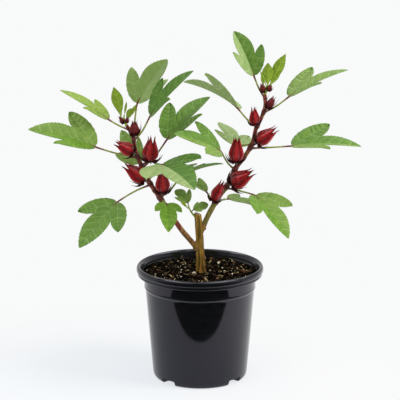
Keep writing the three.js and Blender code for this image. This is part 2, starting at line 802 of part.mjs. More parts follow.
// A stem with its small leaves and buds, all fused. It starts a gap beyond the limb below it.
function shootMesh(name, shoot, below) {
  const radiusAt = taper(shoot.radius, SHOOT_TIP_SHARE * shoot.radius);
  const stem = limb(shoot.path.map(vec), radiusAt, SHOOT_SIDES, 3);
  const leaves = shoot.leaves.map((spec) =>
    leafSolid(pointAtHeight(shoot.path, spec.height), spec, YOUNG_BLADE_THICK, YOUNG_STALK_SCALE));
  const buds = shoot.buds.map((spec) =>
    onStalk(pointAtHeight(shoot.path, spec.height), spec, budBody));
  const solid = joined([stem, ...leaves, ...buds]).subtract(below);
  return meshOf(name, solid, YOUNG_GREEN, vec(shoot.path[0]));
}

const potGroup = new THREE.Group();
potGroup.add(
  meshOf('pot', potSolid(), BLACK_PLASTIC, new THREE.Vector3()),
  meshOf('potting_mix', mixSolid(), POTTING_MIX, new THREE.Vector3(0, 0, BASE_THICK)),
);

const stemGroup = new THREE.Group();
stemGroup.add(
  meshOf('trunk', trunk, TAN_BARK, vec(TRUNK_PATH[0])),
  meshOf('left_bough', boughSolid(LEFT_BOUGH, 0).subtract(nearTrunk), RED_BARK, vec(LEFT_BOUGH.path[0])),
  meshOf('right_bough', boughSolid(RIGHT_BOUGH, 0).subtract(nearTrunk), RED_BARK, vec(RIGHT_BOUGH.path[0])),
);

const leftGroup = new THREE.Group();
leftGroup.add(...leafMeshes('left', LEFT_LEAVES), ...calyxMeshes('left', LEFT_CALYCES));
leftGroup.add(shootMesh('left_shoot_tip', LEFT_TIP, nearBough.left));

const rightGroup = new THREE.Group();
rightGroup.add(...leafMeshes('right', RIGHT_LEAVES), ...calyxMeshes('right', RIGHT_CALYCES));
rightGroup.add(shootMesh('right_shoot_tip', RIGHT_TIP, nearBough.right));

const plantGroup = new THREE.Group();
plantGroup.add(stemGroup, leftGroup, rightGroup, shootMesh('side_shoot', SIDE_SHOOT, nearTrunk));

const shrub = new THREE.Group();
shrub.add(potGroup, plantGroup);

export default shrub;
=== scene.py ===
# %% [markdown]
# # A young roselle hibiscus in its nursery pot
# The object is a small shrub: a short woody trunk, two boughs that spread like a V, three-lobed
# leaves on long stalks, and a fleshy red calyx beside almost every leaf. It grows in a black pot.
# The CAD model gives every limb, leaf and calyx its place. This lesson dresses each of them.

# %% The frame
import math
from contextlib import contextmanager

import bpy
import numpy as np
from mathutils import Matrix, Vector, noise


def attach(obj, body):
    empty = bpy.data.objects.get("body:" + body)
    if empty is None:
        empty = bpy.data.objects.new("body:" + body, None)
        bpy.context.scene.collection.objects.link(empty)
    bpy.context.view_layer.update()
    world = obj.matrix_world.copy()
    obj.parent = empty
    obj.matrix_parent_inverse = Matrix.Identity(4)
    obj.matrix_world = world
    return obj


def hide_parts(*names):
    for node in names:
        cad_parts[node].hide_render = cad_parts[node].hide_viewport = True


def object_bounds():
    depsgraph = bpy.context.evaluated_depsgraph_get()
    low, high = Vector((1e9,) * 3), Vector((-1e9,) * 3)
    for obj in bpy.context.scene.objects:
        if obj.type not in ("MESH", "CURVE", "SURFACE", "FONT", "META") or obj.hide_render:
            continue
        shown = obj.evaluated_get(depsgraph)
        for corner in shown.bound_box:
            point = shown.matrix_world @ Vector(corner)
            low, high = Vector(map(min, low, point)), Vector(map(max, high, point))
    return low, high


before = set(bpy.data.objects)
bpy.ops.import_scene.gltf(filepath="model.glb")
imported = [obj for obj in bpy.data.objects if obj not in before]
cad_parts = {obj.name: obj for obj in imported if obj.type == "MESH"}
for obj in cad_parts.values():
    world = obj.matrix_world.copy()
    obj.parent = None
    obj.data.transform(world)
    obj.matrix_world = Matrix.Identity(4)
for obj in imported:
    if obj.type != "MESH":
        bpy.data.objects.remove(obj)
cad_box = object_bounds()
print("CAD nodes:", len(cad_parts))
print("CAD box in metres:", [[round(v, 4) for v in corner] for corner in cad_box])

# %% [markdown]
# ## Sizes
# All sizes are in millimetres, as on a drawing, and become metres with MM. The boughs, leaves and
# calyces follow the same named sizes as the CAD model, so each piece lands on its own node.

# %% Sizes of the limbs
MM = 0.001
SEED = 7

MIX_TOP = 140.4
TRUNK_PATH = [(1.2, 0, 137.4), (0.6, 0, 158), (-0.4, 0, 172), (-0.6, 0, 186), (-1.6, 0, 202), (-3.2, 0, 218)]
LEFT_PATH = [
    (-3, 0, 170), (-14, -2, 184), (-22, -4, 194), (-30, -6, 206), (-49, -10, 237), (-62, -12, 257),
    (-68, -12, 267), (-74, -10, 281), (-79, -9, 293), (-83, -8, 306), (-85, -6, 320), (-93, -5, 333),
]
RIGHT_PATH = [
    (3, 0, 197), (8, 0, 209), (14, 1, 221), (24, 3, 238), (37, 5, 256), (45, 6, 274), (53, 7, 285),
    (62, 7, 298), (67, 6, 308), (71, 5, 326), (78, 5, 341), (82, 4, 353), (82, 4, 371),
]
LEFT_TIP_PATH = [(-93, -5, 333), (-95, -5, 338), (-97, -5, 343)]
RIGHT_TIP_PATH = [(82, 4, 371), (84, 4, 377), (86, 4, 383)]
SIDE_SHOOT_PATH = [(-4, -1, 211), (-8, -1.5, 215), (-12, -3, 221), (-15, -2, 227)]
PATHS = {
    "left": LEFT_PATH, "right": RIGHT_PATH,
    "left_tip": LEFT_TIP_PATH, "right_tip": RIGHT_TIP_PATH, "side_shoot": SIDE_SHOOT_PATH,
}
print("limbs that bear leaves:", list(PATHS))


# %% The leaves
def leaf(height, stalk, blade, roll, fold, lobes=None, wide=1.0, tint="young young"):
    """One leaf: where its stalk starts, what it reaches, how its blade is turned, and the tints of its left
    and right halves, with painted light and shade in them."""
    return dict(locals(), tint=tint.split())


# The last column gives the tint of each half of a blade, with its painted light or shade.
LEAVES = {
    "left": [
        leaf(237, (7, -18, -1), (3, -42, -26), -6, 27, (0.6, 0.62), 1.5, "bright bright"),
        leaf(240, (27, -12, 30), (53, -17, 20), -9, 16, (0.6, 0.6), 1.3, "mid deep"),
        leaf(250, (23, 33, 17), (6, 74, -8), 0, 10, (0.6, 0.6), 1.0, "mid mid"),
        leaf(258, (-42, -14, -20), (-45, -48, -47), -22, 5, (0.63, 0.63), 1.1, "mid mid"),
        leaf(264, (18, -28, 25), (42, -90, -12), 14, 14, (0.6, 0.7), 1.1, "deep pale"),
        leaf(276, (-4, 24, 6), (-27, 36, 35), -58, 22, (0.62, 0.55), 1.0, "light light"),
        leaf(279, (32, -4, 38), (54, 36, 48), 9, 20, (0.66, 0.69), 1.1, "mid mid"),
        leaf(292, (-54, -5, 15), (-85, 12, 20), -26, 22, (0.65, 0.66), 1.15, "bright light"),
        leaf(313, (23, -29, 38), (53, -7, 56), 24, 13, (0.64, 0.63), 1.1, "deep deep"),
        leaf(322, (7, 8, 38), (39, -29, 59), -34, 27, (0.63, 0.62), 1.15, "pale light"),
        leaf(327, (-28, 13, 12), (-61, 12, 35), -4, 5, (0.54, 0.54), 1.1, "lime lime"),
    ],
    "right": [
        leaf(231, (-12, 11, 12), (-40, 16, 17), -2, 15, (0.62, 0.56), 1.0, "light light"),
        leaf(233, (16, 12, 0), (52, 24, -17), 8, 5, (0.5, 0.55), 1.0, "light light"),
        leaf(250, (38, -10, -8), (40, -50, -44), 3, 18, (0.63, 0.62), 1.1, "light bright"),
        leaf(273, (-19, -16, 28), (-58, -34, 28), -36, 11, (0.63, 0.66), 1.0, "light mid"),
        leaf(301, (54, 1, 3), (88, -5, 0), 14, 16, (0.7, 0.68), 1.0, "mid light"),
        leaf(306, (-18, 12, -4), (-22, 68, 19), 16, 2, (0.52, 0.6), 1.0, "pale pale"),
        leaf(329, (-25, 17, 22), (-69, 50, 26), 33, 18, (0.66, 0.66), 1.1, "pale pale"),
        leaf(347, (34, 10, 20), (75, 12, 32), 6, 12, (0.72, 0.6), 1.0, "light light"),
        leaf(366, (-14, 6, 28), (-25, 30, 53), -21, 35, (0.61, 0.6), 1.25, "pale mid"),
    ],
    "left_tip": [
        leaf(341, (-3, -1, 2), (-9, -5, 40), 60, 15, wide=1.1),
        leaf(339, (2, -2, 2), (7, -4, 15), -65, 15, wide=1.2),
        leaf(337, (3, -2, 3), (12, -4, 21), -80, 35, wide=0.7),
        leaf(342, (1, 2, 3), (3, 3, 18), -135, 40, wide=0.6),
    ],
    "right_tip": [
        leaf(381, (0, -2, 1), (0, -3, 30), 0, 12, wide=1.45),
        leaf(381, (3, 2, 2), (20, 4, 39), -100, 20, wide=1.0),
        leaf(379, (-1, -2, 3), (-8, -2, 20), 75, 35, wide=0.6),
        leaf(378, (-3, -1, 3), (-5, -2, 13), 70, 35, wide=0.7),
        leaf(379, (4, 1, 3), (14, 4, 18), -105, 25, wide=0.8),
    ],
    "side_shoot": [
        leaf(226, (-1, 2, 5), (-16, 28, 11), -22, 23, (0.55, 0.6), 1.3, "light light"),
        leaf(220, (3, -4, 4), (19, 12, 4), 58, 25, (0.5, 0.5), 1.6, "light light"),
        leaf(225, (-2, -1, 0), (-9, -3, 8), -40, 20, wide=1.3),
    ],
}
print("leaves:", {side: len(rows) for side, rows in LEAVES.items()})


# %% Calyces and buds
def fruit(height, stalk, body, width, dark=False):
    """One calyx or bud: where its stalk starts, what it reaches, and its width."""
    return dict(locals())


CALYCES = {
    "left": [
        fruit(242, (5, -6, 6), (-1, -4, 31), 18.5),
        fruit(260, (-7, 0, 3), (-25, -6, 22), 20),
        fruit(283, (12, -12, 7), (3, -4, 32), 20.5),
        fruit(294, (-5, -8, 6), (-22, -6, 14), 17),
        fruit(318, (2, -6, 4), (0, -2, 22), 13, dark=True),
    ],
    "right": [
        fruit(234, (-5, -8, 1), (13, -4, 27), 15),
        fruit(252, (6, -5, 3), (28, -8, 19), 22.5),
        fruit(275, (0, -9, 10), (1, -4, 33), 19),
        fruit(303, (8, -5, 6), (25, -6, 20), 19),
        fruit(331, (-4, -6, 2), (-2, -3, 23), 13.5),
        fruit(350, (5, -1, 4), (10, -3, 18), 10, dark=True),
    ],
    "left_tip": [
        fruit(335, (-3, 0, 1), (-6, -1, 11), 6, dark=True),
        fruit(337, (2, -2, 0), (2, -2, 9), 5, dark=True),
    ],
    "right_tip": [
        fruit(373, (-3, -1, 1), (-3, -3, 14), 7, dark=True),
        fruit(375, (3, -1, 1), (4, -2, 10), 7, dark=True),
    ],
    "side_shoot": [],
}
print("calyces and buds:", {side: len(rows) for side, rows in CALYCES.items()})

# %% [markdown]
# ## Camera, light and floor
# The camera stands 1.7 m in front of the pot and looks down by 13 degrees, as the two ellipses of
# the pot's rim and foot tell. The photograph has one soft lamp on the right, because its only
# shadow, faint and a little blue, lies to the left, and white all round. The pot's wall mirrors
# the end of the white table and the dark room beyond, and its lip mirrors bright lamps overhead.
# So in mirrors only, the floor is dark past the table's end and brighter on the right, and the
# room is dark behind the camera and bright overhead. One function adds a shader node and fills
# its inputs, so a tree of nodes reads as a list.

# %% Camera
CAMERA_PLACE = (0, -1.7, 0.6263)
CAMERA_TILT = 12.967
LENS, SENSOR = 122.3, 36


def into_scene(name, data):
    """A new object in the scene."""
    made = bpy.data.objects.new(name, data)
    bpy.context.scene.collection.objects.link(made)
    return made


camera = into_scene("photo_camera", bpy.data.cameras.new("photo_camera"))
camera.data.sensor_width = SENSOR
camera.data.lens = LENS
camera.location = CAMERA_PLACE
camera.rotation_euler = (math.radians(90 - CAMERA_TILT), 0, 0)
bpy.context.scene.camera = camera
print("camera height:", camera.location.z)


# %% Adding shader nodes
def feed(tree, node, *values, **sockets):
    """Fills a node's inputs, in order or by name, each with a value, a node or a node's output."""
    named = {name.replace("_", " "): value for name, value in sockets.items()}
    for key, value in [*enumerate(values), *named.items()]:
        if isinstance(value, bpy.types.Node):
            value = value.outputs[0]
        if isinstance(value, bpy.types.NodeSocket):
            tree.links.new(value, node.inputs[key])
        elif value is not None:
            node.inputs[key].default_value = value


def add_node(tree, kind, *values, **named):
    """A new shader node. Names in small letters are its settings, and the others its inputs."""
    node = tree.nodes.new("ShaderNode" + kind)
    for name, value in named.items():
        if name.islower():
            setattr(node, name, value)
    feed(tree, node, *values, **{name: value for name, value in named.items() if not name.islower()})
    return node


print("kinds of shader node to choose from:", sum(name.startswith("ShaderNode") for name in dir(bpy.types)))

# %% The room
ROOM_SEEN = (0.95, 0.952, 0.952, 1)
ROOM_LIGHT = 0.62
ROOM_DARK, ROOM_MIRRORED = 0.05, 1.0
BEHIND_CAMERA = -0.85, -0.3
OVERHEAD, SIDEWAYS = (0.64, 0.78), (0.1, 0.45)
LAMPS_MIRRORED = 1.4, 6

bpy.context.scene.view_settings.view_transform = "Standard"
world = bpy.data.worlds.new("pale_room")
bpy.context.scene.world = world
world.use_nodes = True
tree = world.node_tree
ray = add_node(tree, "LightPath").outputs
way = add_node(tree, "SeparateXYZ", add_node(tree, "TexCoord").outputs["Generated"]).outputs
behind_camera = add_node(tree, "MapRange", way["Y"], *BEHIND_CAMERA, ROOM_DARK, ROOM_MIRRORED)
overhead = add_node(tree, "MapRange", way["Z"], *OVERHEAD)
sideways = add_node(tree, "Math", way["X"], operation="ABSOLUTE")
lamps = add_node(tree, "MapRange", sideways, *SIDEWAYS, *LAMPS_MIRRORED)
mirrored_sum = add_node(tree, "Math", overhead, lamps, behind_camera, operation="MULTIPLY_ADD")
room_light = tree.nodes["Background"]
feed(tree, room_light, (1, 1, 1, 1), ROOM_LIGHT)
room_mirrored = add_node(tree, "Background", Strength=mirrored_sum)
in_mirror = add_node(tree, "MixShader", ray["Is Glossy Ray"], room_light, room_mirrored)
room_seen = add_node(tree, "Background", ROOM_SEEN)
in_view = add_node(tree, "MixShader", ray["Is Camera Ray"], in_mirror, room_seen)
feed(tree, tree.nodes["World Output"], in_view)
print("world nodes:", len(tree.nodes))

# %% Lamps
PLANT_MIDDLE = (0, 0, 0.25)
LAMPS = [("lamp_right", (1.45, -0.45, 1.35), 0.8, 24), ("lamp_left", (-1.3, -1.0, 1.2), 0.9, 6)]

for name, place, size, power in LAMPS:
    lamp = into_scene(name, bpy.data.lights.new(name, "AREA"))
    lamp.data.shape = "SQUARE"
    lamp.data.size = size
    lamp.data.energy = power
    lamp.location = place
    lamp.rotation_euler = (Vector(PLANT_MIDDLE) - Vector(place)).to_track_quat("-Z", "Y").to_euler()
    lamp.visible_glossy = False
print("lamps:", [lamp.name for lamp in bpy.data.lights])

# %% Floor
FLOOR_SIZE = 12
TABLE_END = -0.19
GLOW_SHARE = 0.74, 1.0
SHADE_MIDDLE, SHADE_REACH = (-0.055, 0, 0), (0.12, 0.37)
# Painted shadow colour: the floor's glow turns a little blue round the middle of the shadow left of the pot.
COOL_MIDDLE, COOL_REACH = (-0.12, -0.01, 0), (0.05, 0.28)
COOL_GLOW, PLAIN_GLOW = (0.918, 0.955, 1.0, 1), (0.946, 0.952, 0.955, 1)
RIGHT_SIDE, MIRRORED_RIGHT = (-0.02, 0.22), 0.35


def new_material(name):
    """An empty material, its node tree and its Principled shader."""
    material = bpy.data.materials.new(name)
    material.use_nodes = True
    return material, material.node_tree, material.node_tree.nodes["Principled BSDF"]


def deselect():
    """Nothing is selected, so the next operator acts on the new piece alone."""
    bpy.ops.object.select_all(action="DESELECT")


floor_material, tree, shader = new_material("pale_table")
feed(tree, shader, Base_Color=(0.98, 0.975, 0.965, 1), Roughness=0.9, Specular_IOR_Level=0)
on_floor = add_node(tree, "TexCoord").outputs["Object"]
way = add_node(tree, "SeparateXYZ", on_floor).outputs
in_mirrors = add_node(tree, "LightPath").outputs["Is Glossy Ray"]


def from_middle(middle, reach, *share):
    """A share that grows with the distance from a middle, over a reach."""
    distance = add_node(tree, "VectorMath", on_floor, middle, operation="DISTANCE")
    return add_node(tree, "MapRange", distance.outputs["Value"], *reach, *share)


# The painted blue shadow: near its middle the glow takes the blue colour, farther off the plain one.
cool = from_middle(COOL_MIDDLE, COOL_REACH)
glow_colour = add_node(tree, "Mix", data_type="RGBA", Factor=cool, A=COOL_GLOW, B=PLAIN_GLOW)
right_side = add_node(tree, "MapRange", way["X"], *RIGHT_SIDE, 0, MIRRORED_RIGHT)
glow_strength = add_node(tree, "Math", right_side, in_mirrors, 1, operation="MULTIPLY_ADD")
glow = add_node(tree, "Emission", glow_colour.outputs["Result"], glow_strength)
evenly = from_middle(SHADE_MIDDLE, SHADE_REACH, *GLOW_SHARE)
lit_floor = add_node(tree, "MixShader", evenly, shader, glow)
beyond = add_node(tree, "Math", way["Y"], TABLE_END, operation="LESS_THAN")
ended = add_node(tree, "Math", beyond, in_mirrors, operation="MULTIPLY")
dark_room = add_node(tree, "BsdfDiffuse", (0.01, 0.01, 0.01, 1))
feed(tree, tree.nodes["Material Output"], add_node(tree, "MixShader", ended, lit_floor, dark_room))

deselect()
bpy.ops.mesh.primitive_plane_add(size=FLOOR_SIZE, location=(0, 0, 0))
floor = bpy.context.object
floor.name = "floor"
floor.data.materials.append(floor_material)
print("floor size:", tuple(floor.dimensions)[:2])

# %% [markdown]
# ## The pot
# A blown or pressed nursery pot has a thin wall, a rolled lip, a collar that ends in a small ledge,
# and a rounded foot with drain slots. It could be spun from a profile. Here a disc is pushed up
# ring by ring, as a potter raises a wall, which also closes the inside. The slots are then cut out
# and all the edges softened.

# %% Turning a closed body
def select_only(piece):
    """The piece alone is selected and active."""
    deselect()
    piece.select_set(True)
    bpy.context.view_layer.objects.active = piece


@contextmanager
def editing(piece):
    """Edit mode with the whole piece selected, and back to object mode at the end."""
    select_only(piece)
    bpy.ops.object.mode_set(mode="EDIT")
    bpy.ops.mesh.select_all(action="SELECT")
    yield
    bpy.ops.object.mode_set(mode="OBJECT")


def turned(name, profile, sides):
    """Raises a disc ring by ring along a profile of (radius, height)."""
    deselect()
    radius, height = profile[0]
    bpy.ops.mesh.primitive_circle_add(vertices=sides, radius=radius * MM, fill_type="NGON")
    piece = bpy.context.object
    piece.name = name
    piece.location.z = height * MM
    bpy.ops.object.transform_apply(location=True)
    with editing(piece):
        for next_radius, next_height in profile[1:]:
            rise = (0, 0, (next_height - height) * MM)
            ratio = next_radius / radius
            bpy.ops.mesh.extrude_region_move(TRANSFORM_OT_translate={"value": rise})
            bpy.ops.transform.resize(value=(ratio, ratio, 1), center_override=(0, 0, next_height * MM))
            radius, height = next_radius, next_height
        bpy.ops.mesh.select_all(action="SELECT")
        bpy.ops.mesh.normals_make_consistent(inside=False)
    return piece


def apply_modifier(piece, kind, **settings):
    """Adds one modifier with its settings and applies it."""
    select_only(piece)
    modifier = piece.modifiers.new(kind.lower(), kind)
    for key, value in settings.items():
        setattr(modifier, key, value)
    bpy.ops.object.modifier_apply(modifier=modifier.name)


def bevelled(piece, width, segments, sharper_than):
    """Rounds the edges that turn more than an angle."""
    limit = dict(limit_method="ANGLE", angle_limit=math.radians(sharper_than))
    apply_modifier(piece, "BEVEL", width=width * MM, segments=segments, **limit)


# %% The pot's wall, lip and foot
RIM_RADIUS = 82.5
WALL = 1.6
COLLAR_TOP = (74.3, 136.5)
INSIDE_TOP = 140.8
SHOULDER = (72.4, 121.4)
BODY_FOOT, BODY_TOP = (62.2, 9), (71.2, SHOULDER[1])
BASE_RADIUS = 57
BASE_THICK = 11.5
POT_SIDES = 160
LIP_PROFILE = [
    (5.2, 0.1), (2.8, 0.2), (1.9, 0.7), (1.5, 1.6), (1.6, 2.6), (2.1, 3.3), (2.2, 4), (1.3, 4.4),
    (0.6, 5), (0.1, 6), (0, 7.4), (0.1, 8.8), (0.4, 10), (1, 11.2), (1.9, 12), (2.9, 12.3),
    (3.9, 12), (4.9, 11.2), (5.9, 9.8), (6.7, 8.2), (7.3, 6.6),
]
FOOT_PROFILE = [(0, 0), (1.8, 0.5), (3.2, 1.6), (4.3, 3.4), (4.9, 6)]
WALL_HEIGHTS = [BODY_FOOT[1], 11, 13, 40, 80, 113, 116.5, 118.8]
LEDGE_PROFILE = [(-0.3, -1.3), (0.1, -0.5), (0.1, 0.5), (-0.2, 1.2)]
COLLAR_PROFILE = [(72.3, 123.7), (72.35, 124.6), (73, 134), (73.2, 135.3), COLLAR_TOP]


def on_line(height, low, high):
    """The radius at a height on the straight line between two points of a profile."""
    share = (height - low[1]) / (high[1] - low[1])
    return low[0] + (high[0] - low[0]) * share


def inner_radius(height):
    """The inside of the wall: one slope up to the shoulder, another up the collar."""
    ends = (BODY_FOOT, BODY_TOP) if height < SHOULDER[1] else (BODY_TOP, COLLAR_TOP)
    return on_line(height, *ends) - WALL


pot = turned(
    "nursery_pot",
    [(BASE_RADIUS + out, height) for out, height in FOOT_PROFILE]
    + [(on_line(height, BODY_FOOT, BODY_TOP), height) for height in WALL_HEIGHTS]
    + [(SHOULDER[0] + out, SHOULDER[1] + up) for out, up in LEDGE_PROFILE]
    + COLLAR_PROFILE
    + [(RIM_RADIUS - inward, COLLAR_TOP[1] + height) for inward, height in LIP_PROFILE]
    + [(inner_radius(height), height) for height in (INSIDE_TOP, SHOULDER[1], BASE_THICK)],
    POT_SIDES,
)
print("pot wall faces:", len(pot.data.polygons))

# %% The drain slots
SLOTS = 4
SLOT = dict(width=22, depth=28, height=8, first_angle=47.5, rounding=3)
EDGE_ROUNDING = 0.25

deselect()
for i in range(SLOTS):
    angle = math.radians(-90 + SLOT["first_angle"] + 360 * i / SLOTS)
    place = (BODY_FOOT[0] * MM * math.cos(angle), BODY_FOOT[0] * MM * math.sin(angle), 0)
    bpy.ops.mesh.primitive_cube_add(size=1, location=place, rotation=(0, 0, angle))
    cutter = bpy.context.object
    cutter.scale = (SLOT["depth"] * MM, SLOT["width"] * MM, 2 * SLOT["height"] * MM)
    bpy.ops.object.transform_apply(location=True, rotation=True, scale=True)
    bevelled(cutter, SLOT["rounding"], 4, 60)
    apply_modifier(pot, "BOOLEAN", object=cutter, operation="DIFFERENCE", solver="EXACT")
    bpy.data.objects.remove(cutter)
bevelled(pot, EDGE_ROUNDING, 2, 35)
print("pot faces with its slots:", len(pot.data.polygons))

# %% [markdown]
# ### Moulded black plastic
# The plastic is almost black and quite glossy, with the faint rings and specks of dust that a used
# pot has. Its colour could be one value, but patches of two values, drawn flat by their noise,
# vary colour and gloss together. The inside of the lip is dusty and dull. All the plant's finishes
# use the same group of nodes, with their own colours and sizes.

# %% A node group for mottled colour
# Mottle mixes two colours by noise: patches of a set size, with finer grain in them.
mottle = bpy.data.node_groups.new("mottle", "ShaderNodeTree")
for way, names in (
    ("INPUT", "Light Color, Dark Color, Scale Float, Stretch Vector, Contrast Float"),
    ("OUTPUT", "Color Color, Mask Float"),
):
    for name, kind in (words.split() for words in names.split(", ")):
        mottle.interface.new_socket(name, in_out=way, socket_type="NodeSocket" + kind)
source = mottle.nodes.new("NodeGroupInput").outputs
where = add_node(mottle, "TexCoord").outputs["Object"]
stretched = add_node(mottle, "VectorMath", where, source["Stretch"], operation="MULTIPLY")
grain = add_node(mottle, "TexNoise", Vector=stretched, Scale=source["Scale"], Detail=5, Roughness=0.6)
centred = add_node(mottle, "Math", grain, 0.5, operation="SUBTRACT")
spread = add_node(
    mottle, "Math", centred, source["Contrast"], 0.5, operation="MULTIPLY_ADD", use_clamp=True,
)
blend = add_node(mottle, "Mix", data_type="RGBA", Factor=spread, A=source["Dark"], B=source["Light"])
feed(mottle, mottle.nodes.new("NodeGroupOutput"), blend.outputs["Result"], spread)
print("group:", mottle.name, "sockets:", [item.name for item in mottle.interface.items_tree])


# %% Materials from the mottle group
def mottled_material(name, light, dark, scale, stretch=(1, 1, 1), contrast=3.0, rough=(0.5, 0.6),
                     bump=0.2, bump_scale=None, bump_depth=0.3, **sockets):
    """Two colours in patches, roughness between two values, and a bump of its own scale."""
    material, tree, shader = new_material(name)
    shared = dict(node_tree=mottle, Stretch=stretch, Contrast=contrast)
    patches = add_node(tree, "Group", **shared, Scale=scale, Light=(*light, 1), Dark=(*dark, 1)).outputs
    gloss = add_node(tree, "MapRange", patches["Mask"], 0, 1, *rough)
    relief = add_node(tree, "Group", **shared, Scale=bump_scale or scale).outputs["Mask"]
    bumps = add_node(tree, "Bump", Strength=bump, Distance=bump_depth * MM, Height=relief)
    feed(tree, shader, Base_Color=patches["Color"], Roughness=gloss, Normal=bumps, **sockets)
    return material


def dress(piece, *materials):
    """Gives a piece its materials, in the order of its slots."""
    for material in materials:
        piece.data.materials.append(material)


def finish(piece, degrees, slot, *replaced):
    """Shades a piece smooth, but for edges that turn more than an angle. It rides with the plant and stands
    for its CAD nodes. The slot is not used."""
    select_only(piece)
    bpy.ops.object.shade_smooth_by_angle(angle=math.radians(degrees))
    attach(piece, "root")
    if replaced:
        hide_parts(*replaced)
    print(piece.name, "faces:", len(piece.data.polygons))


black_plastic = mottled_material(
    "black_plastic", (0.0062, 0.0066, 0.0076), (0.003, 0.0032, 0.004), 60, stretch=(1, 1, 3),
    contrast=2, rough=(0.06, 0.11), bump=0.03, bump_scale=500, bump_depth=0.1,
    Specular_Tint=(0.78, 0.77, 0.92, 1),
)
dusty_plastic = mottled_material(
    "dusty_plastic", (0.009, 0.008, 0.007), (0.003, 0.003, 0.003), 150, rough=(0.45, 0.7), bump=0.2,
    Specular_IOR_Level=0.12,
)
DUSTY_FROM, DUSTY_TO = COLLAR_TOP[1] + 1, 142.5
dress(pot, black_plastic, dusty_plastic)
for face in pot.data.polygons:
    turned_in = face.normal.xy.dot(face.center.xy.normalized()) < -0.7
    if turned_in and DUSTY_FROM < face.center.z / MM < DUSTY_TO:
        face.material_index = 1
print("dusty faces inside the lip:", sum(face.material_index for face in pot.data.polygons))
finish(pot, 35, "black_plastic", "pot")
print("pot size in mm:", [round(v / MM, 1) for v in pot.dimensions])

# %% [markdown]
# ## The potting mix
# The pot is filled with dark peat that is full of bark chips, fibres and grains of pale perlite.
# Its body is turned like the pot, and its top is roughened. The crumbs are modelled once each and
# copied by the hundred into one mesh of each kind, because the export drops particles.

# %% The body of the mix
MIX_SIDES, MIX_RINGS = 120, 36
MIX_EDGE_DROP = 1.6
MIX_FLAT_RADIUS = 16
MIX_SETTLED = 0.5
LUMPS = [(0.9, 0.09), (0.5, 0.35)]
CLEAR = 0.4

mix_edge_height = MIX_TOP - MIX_EDGE_DROP
mix_edge = inner_radius(mix_edge_height) - CLEAR


def mix_height(x, y):
    """The rough top of the mix at a place, in millimetres."""
    out = min(max((math.hypot(x, y) - MIX_FLAT_RADIUS) / (mix_edge - MIX_FLAT_RADIUS), 0), 1)
    lumps = sum(height * noise.noise(Vector((x, y, SEED)) * fineness) for height, fineness in LUMPS)
    return MIX_TOP - MIX_SETTLED - MIX_EDGE_DROP * out + lumps


mix = turned(
    "mix_body",
    [
        (inner_radius(BASE_THICK) - CLEAR, BASE_THICK + 0.3),
        (inner_radius(SHOULDER[1]) - CLEAR, SHOULDER[1]),
        (mix_edge, mix_edge_height),
        *[(mix_edge * k / MIX_RINGS, mix_edge_height) for k in range(MIX_RINGS - 1, 0, -1)],
    ],
    MIX_SIDES,
)
for vertex in mix.data.vertices:
    if vertex.co.z > (mix_edge_height - 0.1) * MM:
        vertex.co.z = mix_height(vertex.co.x / MM, vertex.co.y / MM) * MM
dress(mix, mottled_material(
    "peat", (0.006, 0.004, 0.0026), (0.001, 0.0008, 0.0005), 220, contrast=4, rough=(0.85, 0.98),
    bump=0.9, bump_scale=450, bump_depth=0.8, Specular_IOR_Level=0.02,
))
finish(mix, 60, "potting_mix", "potting_mix")

# %% Copies of a small shape, joined in one mesh
rng = np.random.default_rng(SEED)


def arrays_of(piece):
    """The corners and faces of a modelled piece, which is then put away."""
    corners = np.array([v.co[:] for v in piece.data.vertices])
    faces = [tuple(p.vertices) for p in piece.data.polygons]
    bpy.data.objects.remove(piece)
    return corners, faces


def joined_mesh(name, parts):
    """One mesh from parts of (corners in mm, faces, material index of each face or one for all)."""
    corners, faces, kinds, first = [], [], [], 0
    for part_corners, part_faces, part_kinds in parts:
        corners.append(np.asarray(part_corners))
        faces += [tuple(int(i) + first for i in face) for face in part_faces]
        kinds += [part_kinds] * len(part_faces) if np.isscalar(part_kinds) else list(part_kinds)
        first += len(part_corners)
    mesh = bpy.data.meshes.new(name)
    mesh.from_pydata(np.vstack(corners) * MM, [], faces)
    mesh.polygons.foreach_set("material_index", np.array(kinds, np.int32))
    mesh.update()
    return into_scene(name, mesh)


def turn(axis, angle):
    """The matrix of a turn about an axis."""
    return np.array(Matrix.Rotation(angle, 3, axis))


print("seed of all random draws:", SEED)


# %% Lumps, and strewing them over the mix
def crumb_shapes(subdivisions, lumpiness, kinds):
    """Several lumps from a ball whose corners are pushed in and out."""
    shapes = []
    for kind in range(kinds):
        deselect()
        bpy.ops.mesh.primitive_ico_sphere_add(subdivisions=subdivisions, radius=1)
        corners, faces = arrays_of(bpy.context.object)
        shift = Vector((9.0 * kind, 0, 0))
        push = [1 + lumpiness * noise.noise(Vector(c) * 1.7 + shift) for c in corners]
        shapes.append((corners * np.array(push)[:, None], faces))
    return shapes


BARE_MIDDLE, BARE_RADIUS = 2.6, 8.5
STREWN_WITHIN, KEPT_WITHIN = mix_edge - 1.5, mix_edge - 0.5
VARIED = 0.8, 1.2
TILT = 0.3


